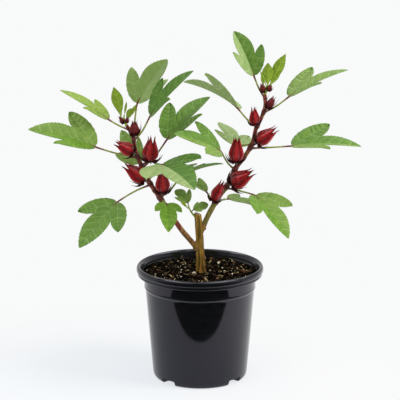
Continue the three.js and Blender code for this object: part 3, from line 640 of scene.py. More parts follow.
def strewn(name, shapes, count, size, stretch, sink, materials, flat=False):
    """Copies of the shapes all over the mix, each with its own size, turn and colour."""
    parts = []
    while len(parts) < count:
        reach = STREWN_WITHIN * math.sqrt(rng.uniform())
        angle = rng.uniform(0, 2 * math.pi)
        x, y = reach * math.cos(angle), reach * math.sin(angle)
        if math.hypot(x - BARE_MIDDLE, y) < BARE_RADIUS:
            continue
        corners, faces = shapes[rng.integers(len(shapes))]
        radius = rng.uniform(*size)
        shaped = corners * np.array(stretch) * radius * rng.uniform(*VARIED, 3)
        if flat:
            tilt = turn("X", rng.normal(0, TILT)) @ turn("Y", rng.normal(0, TILT))
            way = turn("Z", rng.uniform(0, 2 * math.pi)) @ tilt
        else:
            angle = rng.uniform(0, 2 * math.pi)
            way = turn(Vector(rng.normal(size=3)).normalized(), angle)
        placed = shaped @ way.T
        placed += np.array([x, y, mix_height(x, y) - sink * placed[:, 2].min()])
        if np.hypot(placed[:, 0], placed[:, 1]).max() < KEPT_WITHIN:
            parts.append((placed, faces, int(rng.integers(len(materials)))))
    piece = joined_mesh(name, parts)
    dress(piece, *materials)
    finish(piece, 50, "potting_mix")


print("crumbs lie within a radius in mm of", round(KEPT_WITHIN, 1))


# %% Clods, bark chips, fibres and perlite
def crumbs(colours, shine):
    """Rough, dull crumbs of the mix, in one finish for each name and pair of colours."""
    return [
        mottled_material(name, *pair, 500, rough=(0.75, 0.95), bump=0.6, Specular_IOR_Level=shine)
        for name, pair in colours.items()
    ]


clods = crumbs({
    "clod_black": ((0.003, 0.0025, 0.002), (0.0008, 0.0007, 0.0005)),
    "clod_dark": ((0.007, 0.005, 0.003), (0.0012, 0.0009, 0.0007)),
    "clod_brown": ((0.028, 0.016, 0.008), (0.005, 0.003, 0.002)),
}, 0.03)
chips = crumbs({
    "chip_brown": ((0.2, 0.11, 0.05), (0.035, 0.018, 0.008)),
    "chip_red": ((0.15, 0.065, 0.034), (0.03, 0.013, 0.007)),
    "chip_straw": ((0.56, 0.41, 0.2), (0.2, 0.135, 0.06)),
    "chip_moss": ((0.07, 0.055, 0.022), (0.015, 0.012, 0.005)),
    "chip_black": ((0.01, 0.008, 0.006), (0.003, 0.002, 0.002)),
}, 0.1)
perlite = crumbs({"perlite": ((1.0, 0.95, 0.74), (0.88, 0.78, 0.52))}, 0.3)
for name, shapes, count, size, stretch, sink, colours, flat in (
    ("mix_clods", (2, 0.8, 6), 700, (0.8, 2.3), (1, 1, 0.8), 0.45, clods, False),
    ("mix_chips", (2, 0.5, 5), 260, (0.7, 1.5), (3.2, 1.0, 0.45), 0.5, chips, True),
    ("mix_fibres", (1, 0.3, 4), 420, (0.25, 0.45), (14, 0.8, 0.8), 0.3, chips, True),
    ("mix_perlite", (2, 0.6, 4), 110, (0.4, 1.0), (1, 1, 0.9), 0.15, perlite, False),
):
    strewn(name, crumb_shapes(*shapes), count, size, stretch, sink, colours, flat)

GRAINS = [
    (24.6, 39.1, 2.0), (-7.5, -14.5, 2.1), (-24.1, 1.9, 1.2), (-31.8, -36.6, 1.0), (-13.6, -39.7, 1.2),
    (29.5, 14.8, 1.1), (31.8, -0.4, 1.3), (41.7, -12.2, 1.2), (-29.4, 50.6, 0.9), (-58.6, 24.5, 0.9),
    (-7.9, 24, 0.9), (-25.9, 24.5, 1.0), (0.9, 38.6, 0.9),
]
grain_corners, grain_faces = crumb_shapes(3, 0.5, 1)[0]
grains = joined_mesh("perlite_grains", [
    (grain_corners * radius + (x, y, mix_height(x, y) + 0.5 * radius), grain_faces, 0)
    for x, y, radius in GRAINS
])
dress(grains, *perlite)
finish(grains, 50, "potting_mix")

# %% [markdown]
# ## Trunk and boughs
# A limb is a round tube whose rings follow a smooth curve through the limb's nodes. It could be a
# curve with a bevel, but here the rings are worked out directly, because every ring swells where a
# leaf and a calyx sit, and the bark's ridges run along the limb.

# %% A smooth path and a tube round it
def smooth_path(points, step):
    """A centripetal curve through the points, with a sample about every step."""
    points = [np.array(point, float) for point in points]
    points = [2 * points[0] - points[1], *points, 2 * points[-1] - points[-2]]
    samples = []
    for a, b, c, d in zip(points, points[1:], points[2:], points[3:]):
        legs = (b - a, c - b, d - c)
        before, here, after = (max(np.linalg.norm(leg), 1e-6) ** 0.5 for leg in legs)
        leave = here * ((b - a) / before - (c - a) / (before + here) + (c - b) / here)
        arrive = here * ((c - b) / here - (d - b) / (here + after) + (d - c) / after)
        count = max(2, round(np.linalg.norm(c - b) / step))
        for t in np.arange(count) / count:
            starts = (2 * t**3 - 3 * t**2 + 1) * b + (t**3 - 2 * t**2 + t) * leave
            samples.append(starts + (3 * t**2 - 2 * t**3) * c + (t**3 - t**2) * arrive)
    samples.append(points[-2])
    return np.array(samples)


def shares_of(path):
    """How far along the path each sample lies, from 0 to 1."""
    steps = np.linalg.norm(np.diff(path, axis=0), axis=1)
    along = np.concatenate([[0], np.cumsum(steps)])
    return along / along[-1]


def tube(path, radii, sides):
    """Corners and faces of a closed round limb. radii has one value, or one row, for each ring."""
    tangents = np.gradient(path, axis=0)
    tangents /= np.linalg.norm(tangents, axis=1)[:, None]
    radii = np.broadcast_to(np.asarray(radii, float).reshape(len(path), -1), (len(path), sides))
    side = np.cross(tangents[0], (0.3, 0.9, 0.2))
    angles = 2 * np.pi * np.arange(sides)[:, None] / sides
    corners = []
    for centre, tangent, ring in zip(path, tangents, radii):
        side = side - tangent * side.dot(tangent)
        side /= np.linalg.norm(side)
        round_it = np.cos(angles) * side + np.sin(angles) * np.cross(tangent, side)
        corners.append(centre + ring[:, None] * round_it)
    last = (len(path) - 1) * sides
    faces = [
        (i + j, i + (j + 1) % sides, i + sides + (j + 1) % sides, i + sides + j)
        for i in range(0, last, sides) for j in range(sides)
    ]
    faces += [tuple(range(sides - 1, -1, -1)), tuple(range(last, last + sides))]
    return np.vstack(corners), faces


def at_height(path, height):
    """The middle of a limb at a height, between the nodes of its path."""
    for low, high in zip(path, path[1:]):
        if low[2] <= height <= high[2]:
            share = (height - low[2]) / (high[2] - low[2])
            return np.array(low, float) + share * (np.array(high, float) - np.array(low, float))
    return np.array(path[-1], float)


print("middle of the left bough halfway up, in mm:", at_height(LEFT_PATH, 250).round(1))

# %% The trunk
TRUNK_SIDES = 40
TRUNK_FOOT, TRUNK_LOW, TRUNK_TIP = 7.2, 5.9, 4.6
FLARE_SHARE = 0.16
LEAF_SCAR = ((4.4, -1, 158), 3.8)
COLLARS = [
    ((-0.6, 0, 168), (-9, -1, 178), 4.8, 4.0),
    ((0.6, 0, 193), (5.2, 0, 203), 4.6, 4.1),
]
RINGS = [
    ((-8.2, -0.9, 177), 4.25), ((-5, -1.5, 170), 4.4), ((4.9, -0.2, 202.2), 4.4), ((5, -0.6, 197), 4.0),
]
SCAR_FLAT, RING_FLAT = 0.8, 0.4
VOXEL = 0.5

path = smooth_path(TRUNK_PATH, 1.0)
share = shares_of(path)
flare = (TRUNK_FOOT - TRUNK_LOW) * np.maximum(0, 1 - share / FLARE_SHARE) ** 2
radii = TRUNK_LOW + (TRUNK_TIP - TRUNK_LOW) * share + flare
parts = [(*tube(path, radii, TRUNK_SIDES), 0)]
for start, end, foot_radius, end_radius in COLLARS:
    path = smooth_path([start, end], 1.0)
    radii = foot_radius + (end_radius - foot_radius) * shares_of(path)
    parts.append((*tube(path, radii, TRUNK_SIDES), 0))
ball_corners, ball_faces = crumb_shapes(3, 0.25, 1)[0]
for place, radius in [LEAF_SCAR, *RINGS]:
    flat = SCAR_FLAT if place == LEAF_SCAR[0] else RING_FLAT
    parts.append((ball_corners * radius * (1, 1, flat) + place, ball_faces, 0))
trunk = joined_mesh("trunk_bark", parts)
apply_modifier(trunk, "REMESH", mode="VOXEL", voxel_size=VOXEL * MM)
apply_modifier(trunk, "SMOOTH", factor=0.5, iterations=6)
print("trunk faces:", len(trunk.data.polygons))

# %% Bark relief
RIDGE, FISSURE = 0.45, 0.22
RIDGE_GAIN, RIDGE_ROUND, RIDGE_ALONG, RIDGE_FINENESS = 1.6, 1.7, 0.028, 1.3
FISSURE_ACROSS, FISSURE_ALONG = 1.1, 0.14


def ridge_at(place):
    """How high the long ridges of the trunk stand at a place in mm, from about -1 to 1."""
    x, y, z = place
    middle = at_height(TRUNK_PATH, z)
    angle = math.atan2(y - middle[1], x - middle[0])
    round_it = RIDGE_ROUND * math.cos(angle), RIDGE_ROUND * math.sin(angle) + 3
    return RIDGE_GAIN * noise.noise(Vector((*round_it, z * RIDGE_ALONG)) * RIDGE_FINENESS)


def fissure_at(place):
    """The fine lengthwise grain of the bark at a place in mm."""
    x, y, z = place
    return noise.noise(Vector((FISSURE_ACROSS * x, FISSURE_ACROSS * y, z * FISSURE_ALONG)))


trunk.data.update()
outward = [v.normal.copy() for v in trunk.data.vertices]
for vertex, normal in zip(trunk.data.vertices, outward):
    place = vertex.co / MM
    vertex.co += normal * (RIDGE * ridge_at(place) + FISSURE * fissure_at(place)) * MM
print("relief in mm:", RIDGE, "and", FISSURE)

# %% The pruned top of the trunk
CUT_POINT = (-3.0, 0, 216.6)
CUT_SLANT = (0.34, -0.12, 1)

with editing(trunk):
    bpy.ops.mesh.bisect(
        plane_co=Vector(CUT_POINT) * MM, plane_no=CUT_SLANT, use_fill=True, clear_outer=True,
    )
print("trunk faces below the cut:", len(trunk.data.polygons))


# %% The trunk's bark
def bark(name, light, dark):
    """Streaked bark: the streaks run up the limb."""
    return mottled_material(
        name, light, dark, 420, stretch=(1, 1, 0.16), contrast=3.0, rough=(0.55, 0.75),
        bump=0.7, bump_scale=900, bump_depth=0.5, Specular_IOR_Level=0.25,
    )


dress(
    trunk, bark("tan_bark", (0.49, 0.275, 0.042), (0.21, 0.11, 0.015)),
    mottled_material("cut_wood", (0.62, 0.42, 0.22), (0.36, 0.2, 0.09), 500, rough=(0.7, 0.9), bump=0.4),
    bark("dark_bark", (0.21, 0.13, 0.018), (0.078, 0.046, 0.006)),
    bark("warm_bark", (0.455, 0.215, 0.042), (0.195, 0.085, 0.015)),
    bark("collar_bark", (0.36, 0.2, 0.08), (0.13, 0.06, 0.025)),
)
CUT, SHADE, WARM, COLLAR = range(1, 5)
CUT_FROM, CUT_FLATNESS = 210, 0.97
RING_EDGE, RING_RAGGED = 0.1, 0.8
SHADE_BELOW, SHADE_GRAIN = -0.25, 0.5
WARM_UNTIL, WARM_RAGGED = 152, 9
slant = Vector(CUT_SLANT).normalized()
for face in trunk.data.polygons:
    place = face.center / MM
    near_ring = min((place - Vector(at)).length - radius for at, radius in [LEAF_SCAR, *RINGS])
    if place.z > CUT_FROM and face.normal.dot(slant) > CUT_FLATNESS:
        face.material_index = CUT
    elif near_ring < RING_EDGE + RING_RAGGED * fissure_at(place):
        face.material_index = COLLAR
    # Partly painted shade: faces in the hollows between the ridges take the darker bark, for the bark's dark
    # fissures and the shade that falls in them.
    elif ridge_at(place) + SHADE_GRAIN * fissure_at(place) < SHADE_BELOW:
        face.material_index = SHADE
    elif place.z + WARM_RAGGED * fissure_at(place) < WARM_UNTIL:
        face.material_index = WARM
finish(trunk, 40, "tan_bark", "trunk")
counts = np.bincount([face.material_index for face in trunk.data.polygons])
print("faces of tan, cut, dark, warm and collar bark:", counts)

# %% The boughs' bark
def young_bark(name, light, dark):
    """The smoother bark of a bough, in short streaks."""
    return mottled_material(
        name, light, dark, 330, stretch=(1, 1, 0.4), contrast=3.0, rough=(0.4, 0.6),
        bump=0.5, bump_scale=700, bump_depth=0.4, Specular_IOR_Level=0.25,
    )


BOUGH_BARKS = [
    young_bark("red_bark", (0.31, 0.078, 0.046), (0.075, 0.018, 0.012)),
    young_bark("olive_bark", (0.27, 0.24, 0.05), (0.11, 0.085, 0.02)),
    young_bark("brown_bark", (0.37, 0.19, 0.06), (0.13, 0.055, 0.02)),
    young_bark("node_bark", (0.17, 0.045, 0.032), (0.045, 0.013, 0.011)),
]
RED_BARK, OLIVE_BARK, BROWN_BARK, NODE_BARK = range(4)
print("barks of the boughs:", [material.name for material in BOUGH_BARKS])

# %% The two boughs
BOUGH_SIDES, BOUGH_TAPER, BOUGH_MOST = 20, 1.4, 4.4
NODE_SWELL, NODE_LENGTH = 0.75, 2.6
RELIEF, RELIEF_ROUND, RELIEF_ALONG = 0.22, 1.8, 0.09
WANDER_FINENESS = 0.13
NODE_DARK, NODE_RAGGED = 1.6, 2.5
LOW_RAGGED, BROWN_ABOVE = 22, 0.22
BOUGHS = {"left": (LEFT_PATH, 3.5, 2.1, 202), "right": (RIGHT_PATH, 3.5, 2.1, 250)}


def bump_at(share, middle, height, width):
    """A soft swelling round a place along a limb."""
    return height * np.exp(-(((share - middle) / width) ** 2))


def node_heights(side):
    """The heights on a bough where a leaf or a calyx grows."""
    return [row["height"] for row in LEAVES[side] + CALYCES[side]]


for side, (nodes_of_bough, foot, tip, low_until) in BOUGHS.items():
    path = smooth_path(nodes_of_bough, 0.8)
    share = shares_of(path)
    along = share * np.linalg.norm(np.diff(path, axis=0), axis=1).sum()
    radii = foot + (tip - foot) * share**BOUGH_TAPER
    for height in node_heights(side):
        node_at = np.interp(height, path[:, 2], along)
        radii = radii + bump_at(along, node_at, NODE_SWELL, NODE_LENGTH) * (radii / foot)
    radii = np.minimum(radii, BOUGH_MOST)
    angles = 2 * np.pi * np.arange(BOUGH_SIDES) / BOUGH_SIDES
    ring = [(RELIEF_ROUND * math.cos(angle), RELIEF_ROUND * math.sin(angle)) for angle in angles]
    relief = np.array([[RELIEF * noise.noise(Vector((*at, s * RELIEF_ALONG))) for at in ring] for s in along])
    corners, faces = tube(path, radii[:, None] + relief, BOUGH_SIDES)
    kinds = []
    low_bark = BROWN_BARK if side == "left" else OLIVE_BARK
    for face in faces:
        x, y, z = corners[list(face)].mean(axis=0)
        wander = noise.noise(Vector((x, y, z)) * WANDER_FINENESS)
        to_node = min(abs(z - height) for height in node_heights(side))
        if to_node < NODE_DARK + NODE_RAGGED * wander:
            kinds.append(NODE_BARK)
        elif z < low_until + LOW_RAGGED * wander:
            kinds.append(low_bark)
        else:
            kinds.append(BROWN_BARK if wander > BROWN_ABOVE else RED_BARK)
    bough = joined_mesh(f"{side}_bough_bark", [(corners, faces, kinds)])
    dress(bough, *BOUGH_BARKS)
    finish(bough, 50, "red_bark", f"{side}_bough")

# %% [markdown]
# ## Leaf stalks
# A roselle leaf hangs on a long slim stalk. It is olive green, and dark red at both ends, where it
# thickens: at the bough, and in the last centimetre before the blade. Every stalk is a tube along
# a bent path. The colours are dealt out ring by ring as plain materials.

# %% How a blade stands
ARCH = 0.05
STALK_INTO_BLADE = 0.12
STALK_LEVEL_START = 0.1
STALK_RADII = [1.25, 1.05, 0.5]


def blade_frame(spec):
    """Where the stalk starts, the blade's foot and length, and its directions along, across and up."""
    start = at_height(PATHS[spec["side"]], spec["height"])
    foot = start + spec["stalk"]
    reach = np.array(spec["blade"], float)
    length = np.linalg.norm(reach)
    along = reach / length
    level = np.cross((0, 0, 1), along)
    level /= np.linalg.norm(level)
    roll = math.radians(spec["roll"])
    across = math.cos(roll) * level + math.sin(roll) * np.cross(along, level)
    return start, foot, length, along, across, np.cross(along, across)


def on_blade(spec, u, v, lift=0.0):
    """The place of a flat point: u along the midrib, v across it, lift above the surface."""
    foot, length, along, across, up = blade_frame(spec)[1:]
    fold = math.radians(spec["fold"])
    share = u / length
    rise = np.abs(v) * math.sin(fold) + ARCH * length * 4 * share * (1 - share) + lift
    level = foot + np.multiply.outer(u, along) + np.multiply.outer(v * math.cos(fold), across)
    return level + np.multiply.outer(rise, up)


for side, rows in LEAVES.items():
    for spec in rows:
        spec["side"] = side
lengths = [np.linalg.norm(spec["blade"]) for rows in LEAVES.values() for spec in rows]
print("blades in mm, from", round(min(lengths)), "to", round(max(lengths)))

# %% The stalks
STALK_SIDES = 10
BOUGH_SWELL, BLADE_SWELL = (0.45, 0.1), (0.22, 0.09)
RED, MIXED, OLIVE, YOUNG = range(4)
BARK_ENDS = [(RED, 0.1, 0.84), (MIXED, 0.2, 0.76)]
STALK_COLOURS = {
    "stalk_red": ((0.2, 0.03, 0.026), (0.08, 0.013, 0.012)),
    "stalk_mixed": ((0.28, 0.16, 0.045), (0.13, 0.055, 0.02)),
    "stalk_olive": ((0.36, 0.42, 0.08), (0.18, 0.21, 0.035)),
    "stalk_young": ((0.4, 0.52, 0.05), (0.22, 0.32, 0.025)),
}


def stalk_part(spec, scale=1.0):
    """A stalk from the middle of its bough to a little way into its blade."""
    start, foot, length = blade_frame(spec)[:3]
    reach = foot - start
    middle = start + 0.5 * reach
    middle[2] -= STALK_LEVEL_START * reach[2]
    inside = on_blade(spec, np.array([STALK_INTO_BLADE * length]), np.array([0.0]))[0]
    path = smooth_path([start, middle, foot, inside], 1.2)
    share = shares_of(path)
    free = np.linalg.norm(reach) / (np.linalg.norm(reach) + STALK_INTO_BLADE * length)
    radii = np.interp(share, [0, free, 1], STALK_RADII)
    radii = radii + bump_at(share, 0, *BOUGH_SWELL) + bump_at(share, free, *BLADE_SWELL)
    corners, faces = tube(path, radii * scale, STALK_SIDES)
    kinds = []
    for way in share[:-1] / free:
        fitting = [kind for kind, low, high in BARK_ENDS if way < low or way > high]
        kinds += [(fitting or [OLIVE])[0]] * STALK_SIDES
    return corners, faces, kinds + [RED, RED]


def nodes_of(side, kind, table):
    """The names of the CAD nodes of all leaves or calyces on a bough."""
    return [f"{side}_{kind}_{i + 1}" for i in range(len(table[side]))]


stalk_finishes = [
    mottled_material(name, *colours, 500, rough=(0.35, 0.5)) for name, colours in STALK_COLOURS.items()
]
for side in ("left", "right"):
    stalks = joined_mesh(f"{side}_leaf_stalks", [stalk_part(spec) for spec in LEAVES[side]])
    dress(stalks, *stalk_finishes[:YOUNG])
    finish(stalks, 60, "leaf", *nodes_of(side, "leaf", LEAVES))

# %% [markdown]
# ## Leaf blades
# A blade has a long middle lobe and two side lobes, a fine saw edge, and veins: one main vein in
# each lobe, and side veins that leave it at about 50 degrees. The surface swells between the
# veins. Each half lobe is a grid: its long lines run from foot to tip, its cross lines follow the
# side veins, and a narrow row of faces is a vein. So the veins are real shapes, and take a paler
# material of their own. The two halves of a blade may have tints of their own, as light falls on
# them. Solidify then gives the blade its thickness and its paler underside.

# %% The outline's rules
BLADE = dict(
    half_width=0.165, side_half_width=0.23, spread=38, sinus_share=0.6,
    skew=1.16, fullness=0.8, young_fullness=1.15, outer_skew=0.85, outer_fullness=0.6,
    vein_dip=0.04, vein_lag=0.85, side_vein_lag=0.1, sinus_curve=0.85,
)
FACES_PER_PANEL = 6
VEIN_SHARE = 0.09


def lobe_width(share, skew, fullness):
    """The share of its full width that a lobe has along its length."""
    return np.sin(np.pi * np.clip(share, 0, 1) ** skew) ** fullness


def panels(count, open_end):
    """Places from 0 to 1 in panels, each ending in a narrow vein, and each row's kind and phase."""
    places, veins, phases = [0.0], [], [0.0]
    steps = range(1, FACES_PER_PANEL + 1)
    for panel in range(count):
        start = panel / count
        vein = VEIN_SHARE / count if panel < count - 1 or not open_end else 0
        stop = (panel + 1) / count - vein
        places += [start + (stop - start) * k / FACES_PER_PANEL for k in steps]
        veins += [0] * FACES_PER_PANEL
        phases += [k / FACES_PER_PANEL for k in steps]
        if vein:
            places.append((panel + 1) / count)
            veins.append(1)
            phases.append(0.0)
    return np.array(places), veins, np.array(phases)


RAY, RAY_VEINS, RAY_PHASE = panels(2, open_end=False)
LONG, LONG_VEINS, LONG_PHASE = panels(5, open_end=True)
SHORT, SHORT_VEINS, SHORT_PHASE = panels(4, open_end=True)
print("rows to the notch:", len(RAY), "and on to the tips:", len(LONG), len(SHORT))

# %% Half a lobe as a grid
ROWS_ACROSS = 7
MIDRIB, MIDRIB_TIP, MIDRIB_MOST = 0.007, 0.35, 0.3
PUFF, PUFF_SHAPE, PUFF_WIDTH, PUFF_AT_VEIN = 0.011, 0.8, 0.12, 0.3
TOOTH, TOOTH_BACK, TOOTH_WIDTH = 0.009, 0.3, 0.08


def half_lobe(spec, length, vein_line, edge_line, phases, veins, toothed, dipped):
    """The grid between a main vein and an edge, both given as flat points row by row."""
    vein_line, edge_line = np.array(vein_line, float), np.array(edge_line, float)
    reach = edge_line - vein_line
    width = np.linalg.norm(reach, axis=1)
    rows = len(width)
    taper = np.linspace(1, MIDRIB_TIP, rows)
    first = np.minimum(MIDRIB_MOST, MIDRIB * length * taper / np.maximum(width, 1e-6))
    steps = np.linspace(0, 1, ROWS_ACROSS)
    across = np.column_stack([np.zeros(rows), first[:, None] + (1 - first[:, None]) * steps])
    saw = np.where(toothed, (np.arange(rows) % 3) / 2 - TOOTH_BACK, 0) * TOOTH * length
    saw = saw * np.minimum(1, width / (TOOTH_WIDTH * length))
    grow = np.where(width > 1e-6, saw / np.maximum(width, 1e-6), 0)
    stretch = across.copy()
    stretch[:, -1] += grow
    flat = vein_line[:, None, :] + stretch[:, :, None] * reach[:, None, :]
    swell = PUFF * length * np.sin(np.pi * phases)[:, None]
    swell = swell * np.sin(np.pi * np.clip(across, 0, 1)) ** PUFF_SHAPE
    swell = swell * np.minimum(1, width / (PUFF_WIDTH * length))[:, None]
    swell[:, 1] = swell[:, 1] * PUFF_AT_VEIN
    if dipped:
        swell = swell - BLADE["vein_dip"] * np.linalg.norm(vein_line, axis=1)[:, None] * (1 - across)
    corners = on_blade(spec, flat[:, :, 0].ravel(), flat[:, :, 1].ravel(), swell.ravel())
    cells = [(i, j) for i in range(rows - 1) for j in range(ROWS_ACROSS)]
    line = ROWS_ACROSS + 1
    faces = [(i * line + j, (i + 1) * line + j, (i + 1) * line + j + 1, i * line + j + 1) for i, j in cells]
    return corners, faces, [1 if veins[i] or j == 0 else 0 for i, j in cells]


print("faces from midrib to edge:", ROWS_ACROSS)

# %% All half lobes of one blade
TOOTHED_FROM, SIDE_TOOTHED_FROM = 0.1, 0.14


def blade_parts(spec):
    """All half lobes of one blade, as thin sheets."""
    length = blade_frame(spec)[2]
    half_width = BLADE["half_width"] * spec["wide"] * length
    fullness = BLADE["fullness"] if spec["lobes"] else BLADE["young_fullness"]

    def edge_at(u):
        return half_width * lobe_width(u / length, BLADE["skew"], fullness)

    parts = []
    for half, (sign, share) in enumerate(zip((1, -1), spec["lobes"] or (None, None))):
        if share is None:
            u = LONG * length
            edge = np.column_stack([u, edge_at(u)])
            phases, veins = LONG_PHASE, LONG_VEINS
            toothed = u > TOOTHED_FROM * length
        else:
            side_length = share * length
            sinus_u = BLADE["sinus_share"] * side_length
            sinus = np.array([sinus_u, float(edge_at(sinus_u))])
            beyond = sinus_u + LONG[1:] * (length - sinus_u)
            edge = np.vstack([RAY[:, None] * sinus, np.column_stack([beyond, edge_at(beyond)])])
            phases = np.concatenate([RAY_PHASE, LONG_PHASE[1:]])
            veins = RAY_VEINS + LONG_VEINS
            toothed = np.arange(len(edge)) > len(RAY)
        lag = BLADE["vein_lag"] * BLADE["half_width"] * spec["wide"] * length
        vein = np.column_stack([edge[:, 0] - lag * np.sin(np.pi * edge[:, 0] / length), np.zeros(len(edge))])
        flip = np.array([1, sign])
        lines = vein * flip, edge * flip
        parts.append((half, *half_lobe(spec, length, *lines, phases, veins, toothed, False)))
        if share is None:
            continue
        spread = math.radians(BLADE["spread"])
        vein_way = np.array([math.cos(spread), math.sin(spread)])
        inward = np.array([math.sin(spread), -math.cos(spread)])
        sinus_a, sinus_b = sinus.dot(vein_way), sinus.dot(inward)
        past = sinus_a + SHORT[1:] * (side_length - sinus_a)
        a = np.concatenate([RAY * sinus_a, past])
        way = a / side_length
        inner_b = np.concatenate([RAY * sinus_b, sinus_b * (1 - SHORT[1:] ** 2) ** BLADE["sinus_curve"]])
        bulge = lobe_width(way, BLADE["outer_skew"], BLADE["outer_fullness"])
        outer_b = -BLADE["side_half_width"] * side_length * bulge
        vein_a = a - BLADE["side_vein_lag"] * side_length * np.sin(np.pi * way)
        side_vein = vein_a[:, None] * vein_way
        inner = a[:, None] * vein_way + inner_b[:, None] * inward
        outer = a[:, None] * vein_way + outer_b[:, None] * inward
        phases = np.concatenate([RAY_PHASE, SHORT_PHASE[1:]])
        veins = RAY_VEINS + SHORT_VEINS
        past_sinus = np.arange(len(a)) > len(RAY)
        for edge_line, toothed in ((inner, past_sinus), (outer, way > SIDE_TOOTHED_FROM)):
            lines = side_vein * flip, edge_line * flip
            parts.append((half, *half_lobe(spec, length, *lines, phases, veins, toothed, True)))
    return parts


def facing_up(spec, corners, faces):
    """The faces of a sheet, each turned to the blade's upper side."""
    up = blade_frame(spec)[5]
    a, b, c, d = (corners[list(column)] for column in zip(*faces))
    upward = np.cross(c - a, d - b).dot(up) >= 0
    return [face if kept else face[::-1] for face, kept in zip(faces, upward)]


print("sheets in the first blade:", len(blade_parts(LEAVES["left"][0])))

# %% Leaf materials
UNDERSIDE = (0.34, 0.48, 0.17)


def leaf_colours(name, light, dark, vein, rough=(0.42, 0.58)):
    """The four finishes of one kind of leaf: upper side, its veins, underside, and its veins."""
    fade = 0.1 if name == "leaf_young" else 0.35
    shared = dict(bump=0.35, bump_scale=450, bump_depth=0.07, Specular_IOR_Level=0.25)

    def pale(colour, share=fade):
        return [c + (p - c) * share for c, p in zip(colour, UNDERSIDE)]

    return [
        mottled_material(name + kind, *colours, **values)
        for kind, colours, values in (
            ("_top", (light, dark, 130), dict(contrast=2.4, rough=rough, **shared)),
            ("_vein", (vein, light, 200), dict(contrast=1.5, rough=rough, bump=0.1)),
            ("_under", (pale(light), pale(dark), 130), dict(contrast=2, rough=(0.6, 0.75), **shared)),
            ("_under_vein", (pale(vein, 1.5 * fade), pale(light), 200),
             dict(contrast=1.5, rough=(0.6, 0.7), bump=0.1)),
        )
    ]


# Deep, mid, bright, light and pale are one green with painted light: shaded, lit, and pale with painted
# sheen, for each half of a blade as light falls on it. Lime and young are the colours of young leaves.
TINTS = {
    "deep": ((0.11, 0.23, 0.028), (0.052, 0.14, 0.014), (0.15, 0.275, 0.046)),
    "mid": ((0.15, 0.28, 0.044), (0.086, 0.185, 0.023), (0.205, 0.335, 0.076)),
    "bright": ((0.175, 0.325, 0.032), (0.095, 0.215, 0.016), (0.245, 0.39, 0.068)),
    "light": ((0.23, 0.36, 0.072), (0.147, 0.26, 0.042), (0.295, 0.41, 0.11)),
    "pale": ((0.325, 0.43, 0.165), (0.235, 0.35, 0.105), (0.395, 0.49, 0.22)),
    "lime": ((0.29, 0.42, 0.054), (0.185, 0.305, 0.026), (0.365, 0.48, 0.11)),
    "young": ((0.25, 0.37, 0.012), (0.13, 0.23, 0.005), (0.35, 0.46, 0.035)),
}
TINT_ORDER = list(TINTS)
leaf_finishes = []
for tint in TINT_ORDER:
    leaf_finishes += leaf_colours(f"leaf_{tint}", *TINTS[tint])
print("leaf materials:", len(leaf_finishes))

# %% The blades, joined by side of the plant
def blades_piece(name, specs, thickness):
    """All blades of one group: sheets are joined, merged where they meet, and made solid."""
    parts = []
    for spec in specs:
        for half, corners, faces, kinds in blade_parts(spec):
            # Each half takes the finish of its own tint, with its painted light or shade.
            first_slot = 4 * TINT_ORDER.index(spec["tint"][half])
            parts.append((corners, facing_up(spec, corners, faces), [first_slot + kind for kind in kinds]))
    piece = joined_mesh(name, parts)
    dress(piece, *leaf_finishes)
    with editing(piece):
        bpy.ops.mesh.remove_doubles(threshold=0.02 * MM)
        bpy.ops.mesh.select_all(action="SELECT")
        bpy.ops.mesh.dissolve_degenerate(threshold=0.005 * MM)
    apply_modifier(piece, "SOLIDIFY", thickness=thickness * MM, offset=0, material_offset=2)
    return piece


for side in ("left", "right"):
    blades = blades_piece(f"{side}_leaf_blades", LEAVES[side], 0.6)
    finish(blades, 60, "leaf", *nodes_of(side, "leaf", LEAVES))

# %% [markdown]
# ## Calyces
# After the flower drops, the roselle's calyx swells: five thick red sepals, fused below into an
# urn, with pointed free tips, a keel along each sepal and a groove between two. Slim dark bracts
# stand round its foot. One sepal is shaped from a grid and spun into five, bracts and a dark
# kernel are added, and the finished model is copied to each place at its own size, each copy
# turned about its own axis.

# %% One sepal, spun into an urn
SEPALS = 5
FUSED_UNTIL = 0.64
URN = [
    (0, 0.12), (0.02, 0.26), (0.07, 0.5), (0.14, 0.74), (0.22, 0.91), (0.31, 1.0), (0.42, 0.98), (0.54, 0.86),
    (0.66, 0.71), (0.78, 0.57), (0.88, 0.47), (0.95, 0.45), (1.0, 0.5),
]
KEEL, GROOVE = 0.06, 0.09
TIP_SHAPE, GROOVE_SHAPE = 1.4, 5
SEPAL_THICK, SEAM = 0.07, 0.004

deselect()
bpy.ops.mesh.primitive_grid_add(x_subdivisions=12, y_subdivisions=22, size=2)
sepal = bpy.context.object
sepal.name = "one_sepal"
for vertex in sepal.data.vertices:
    across, height = vertex.co.x, (vertex.co.y + 1) / 2
    free = max(0, (height - FUSED_UNTIL) / (1 - FUSED_UNTIL))
    half_angle = math.pi / SEPALS * (1 - free**TIP_SHAPE)
    radius = np.interp(height, [h for h, r in URN], [r for h, r in URN])
    radius *= 1 + KEEL * math.cos(math.pi * across) - GROOVE * abs(across) ** GROOVE_SHAPE * (1 - free)
    angle = -math.pi / 2 + across * half_angle
    vertex.co = (radius * math.cos(angle), radius * math.sin(angle), height)
sepal.data.update()
turn_left = 2 * math.pi * (SEPALS - 1) / SEPALS
with editing(sepal):
    bpy.ops.mesh.spin(
        steps=SEPALS - 1, dupli=True, angle=turn_left, center=(0, 0, 0), axis=(0, 0, 1),
    )
    bpy.ops.mesh.select_all(action="SELECT")
    bpy.ops.mesh.remove_doubles(threshold=SEAM)
    bpy.ops.mesh.normals_make_consistent(inside=False)
outside = sum(1 for f in sepal.data.polygons if f.normal.xy.dot(f.center.xy) > 0)
if outside < len(sepal.data.polygons) / 2:
    sepal.data.flip_normals()
apply_modifier(sepal, "SOLIDIFY", thickness=SEPAL_THICK, offset=-1)
urn_corners, urn_faces = arrays_of(sepal)
print("urn faces:", len(urn_faces))
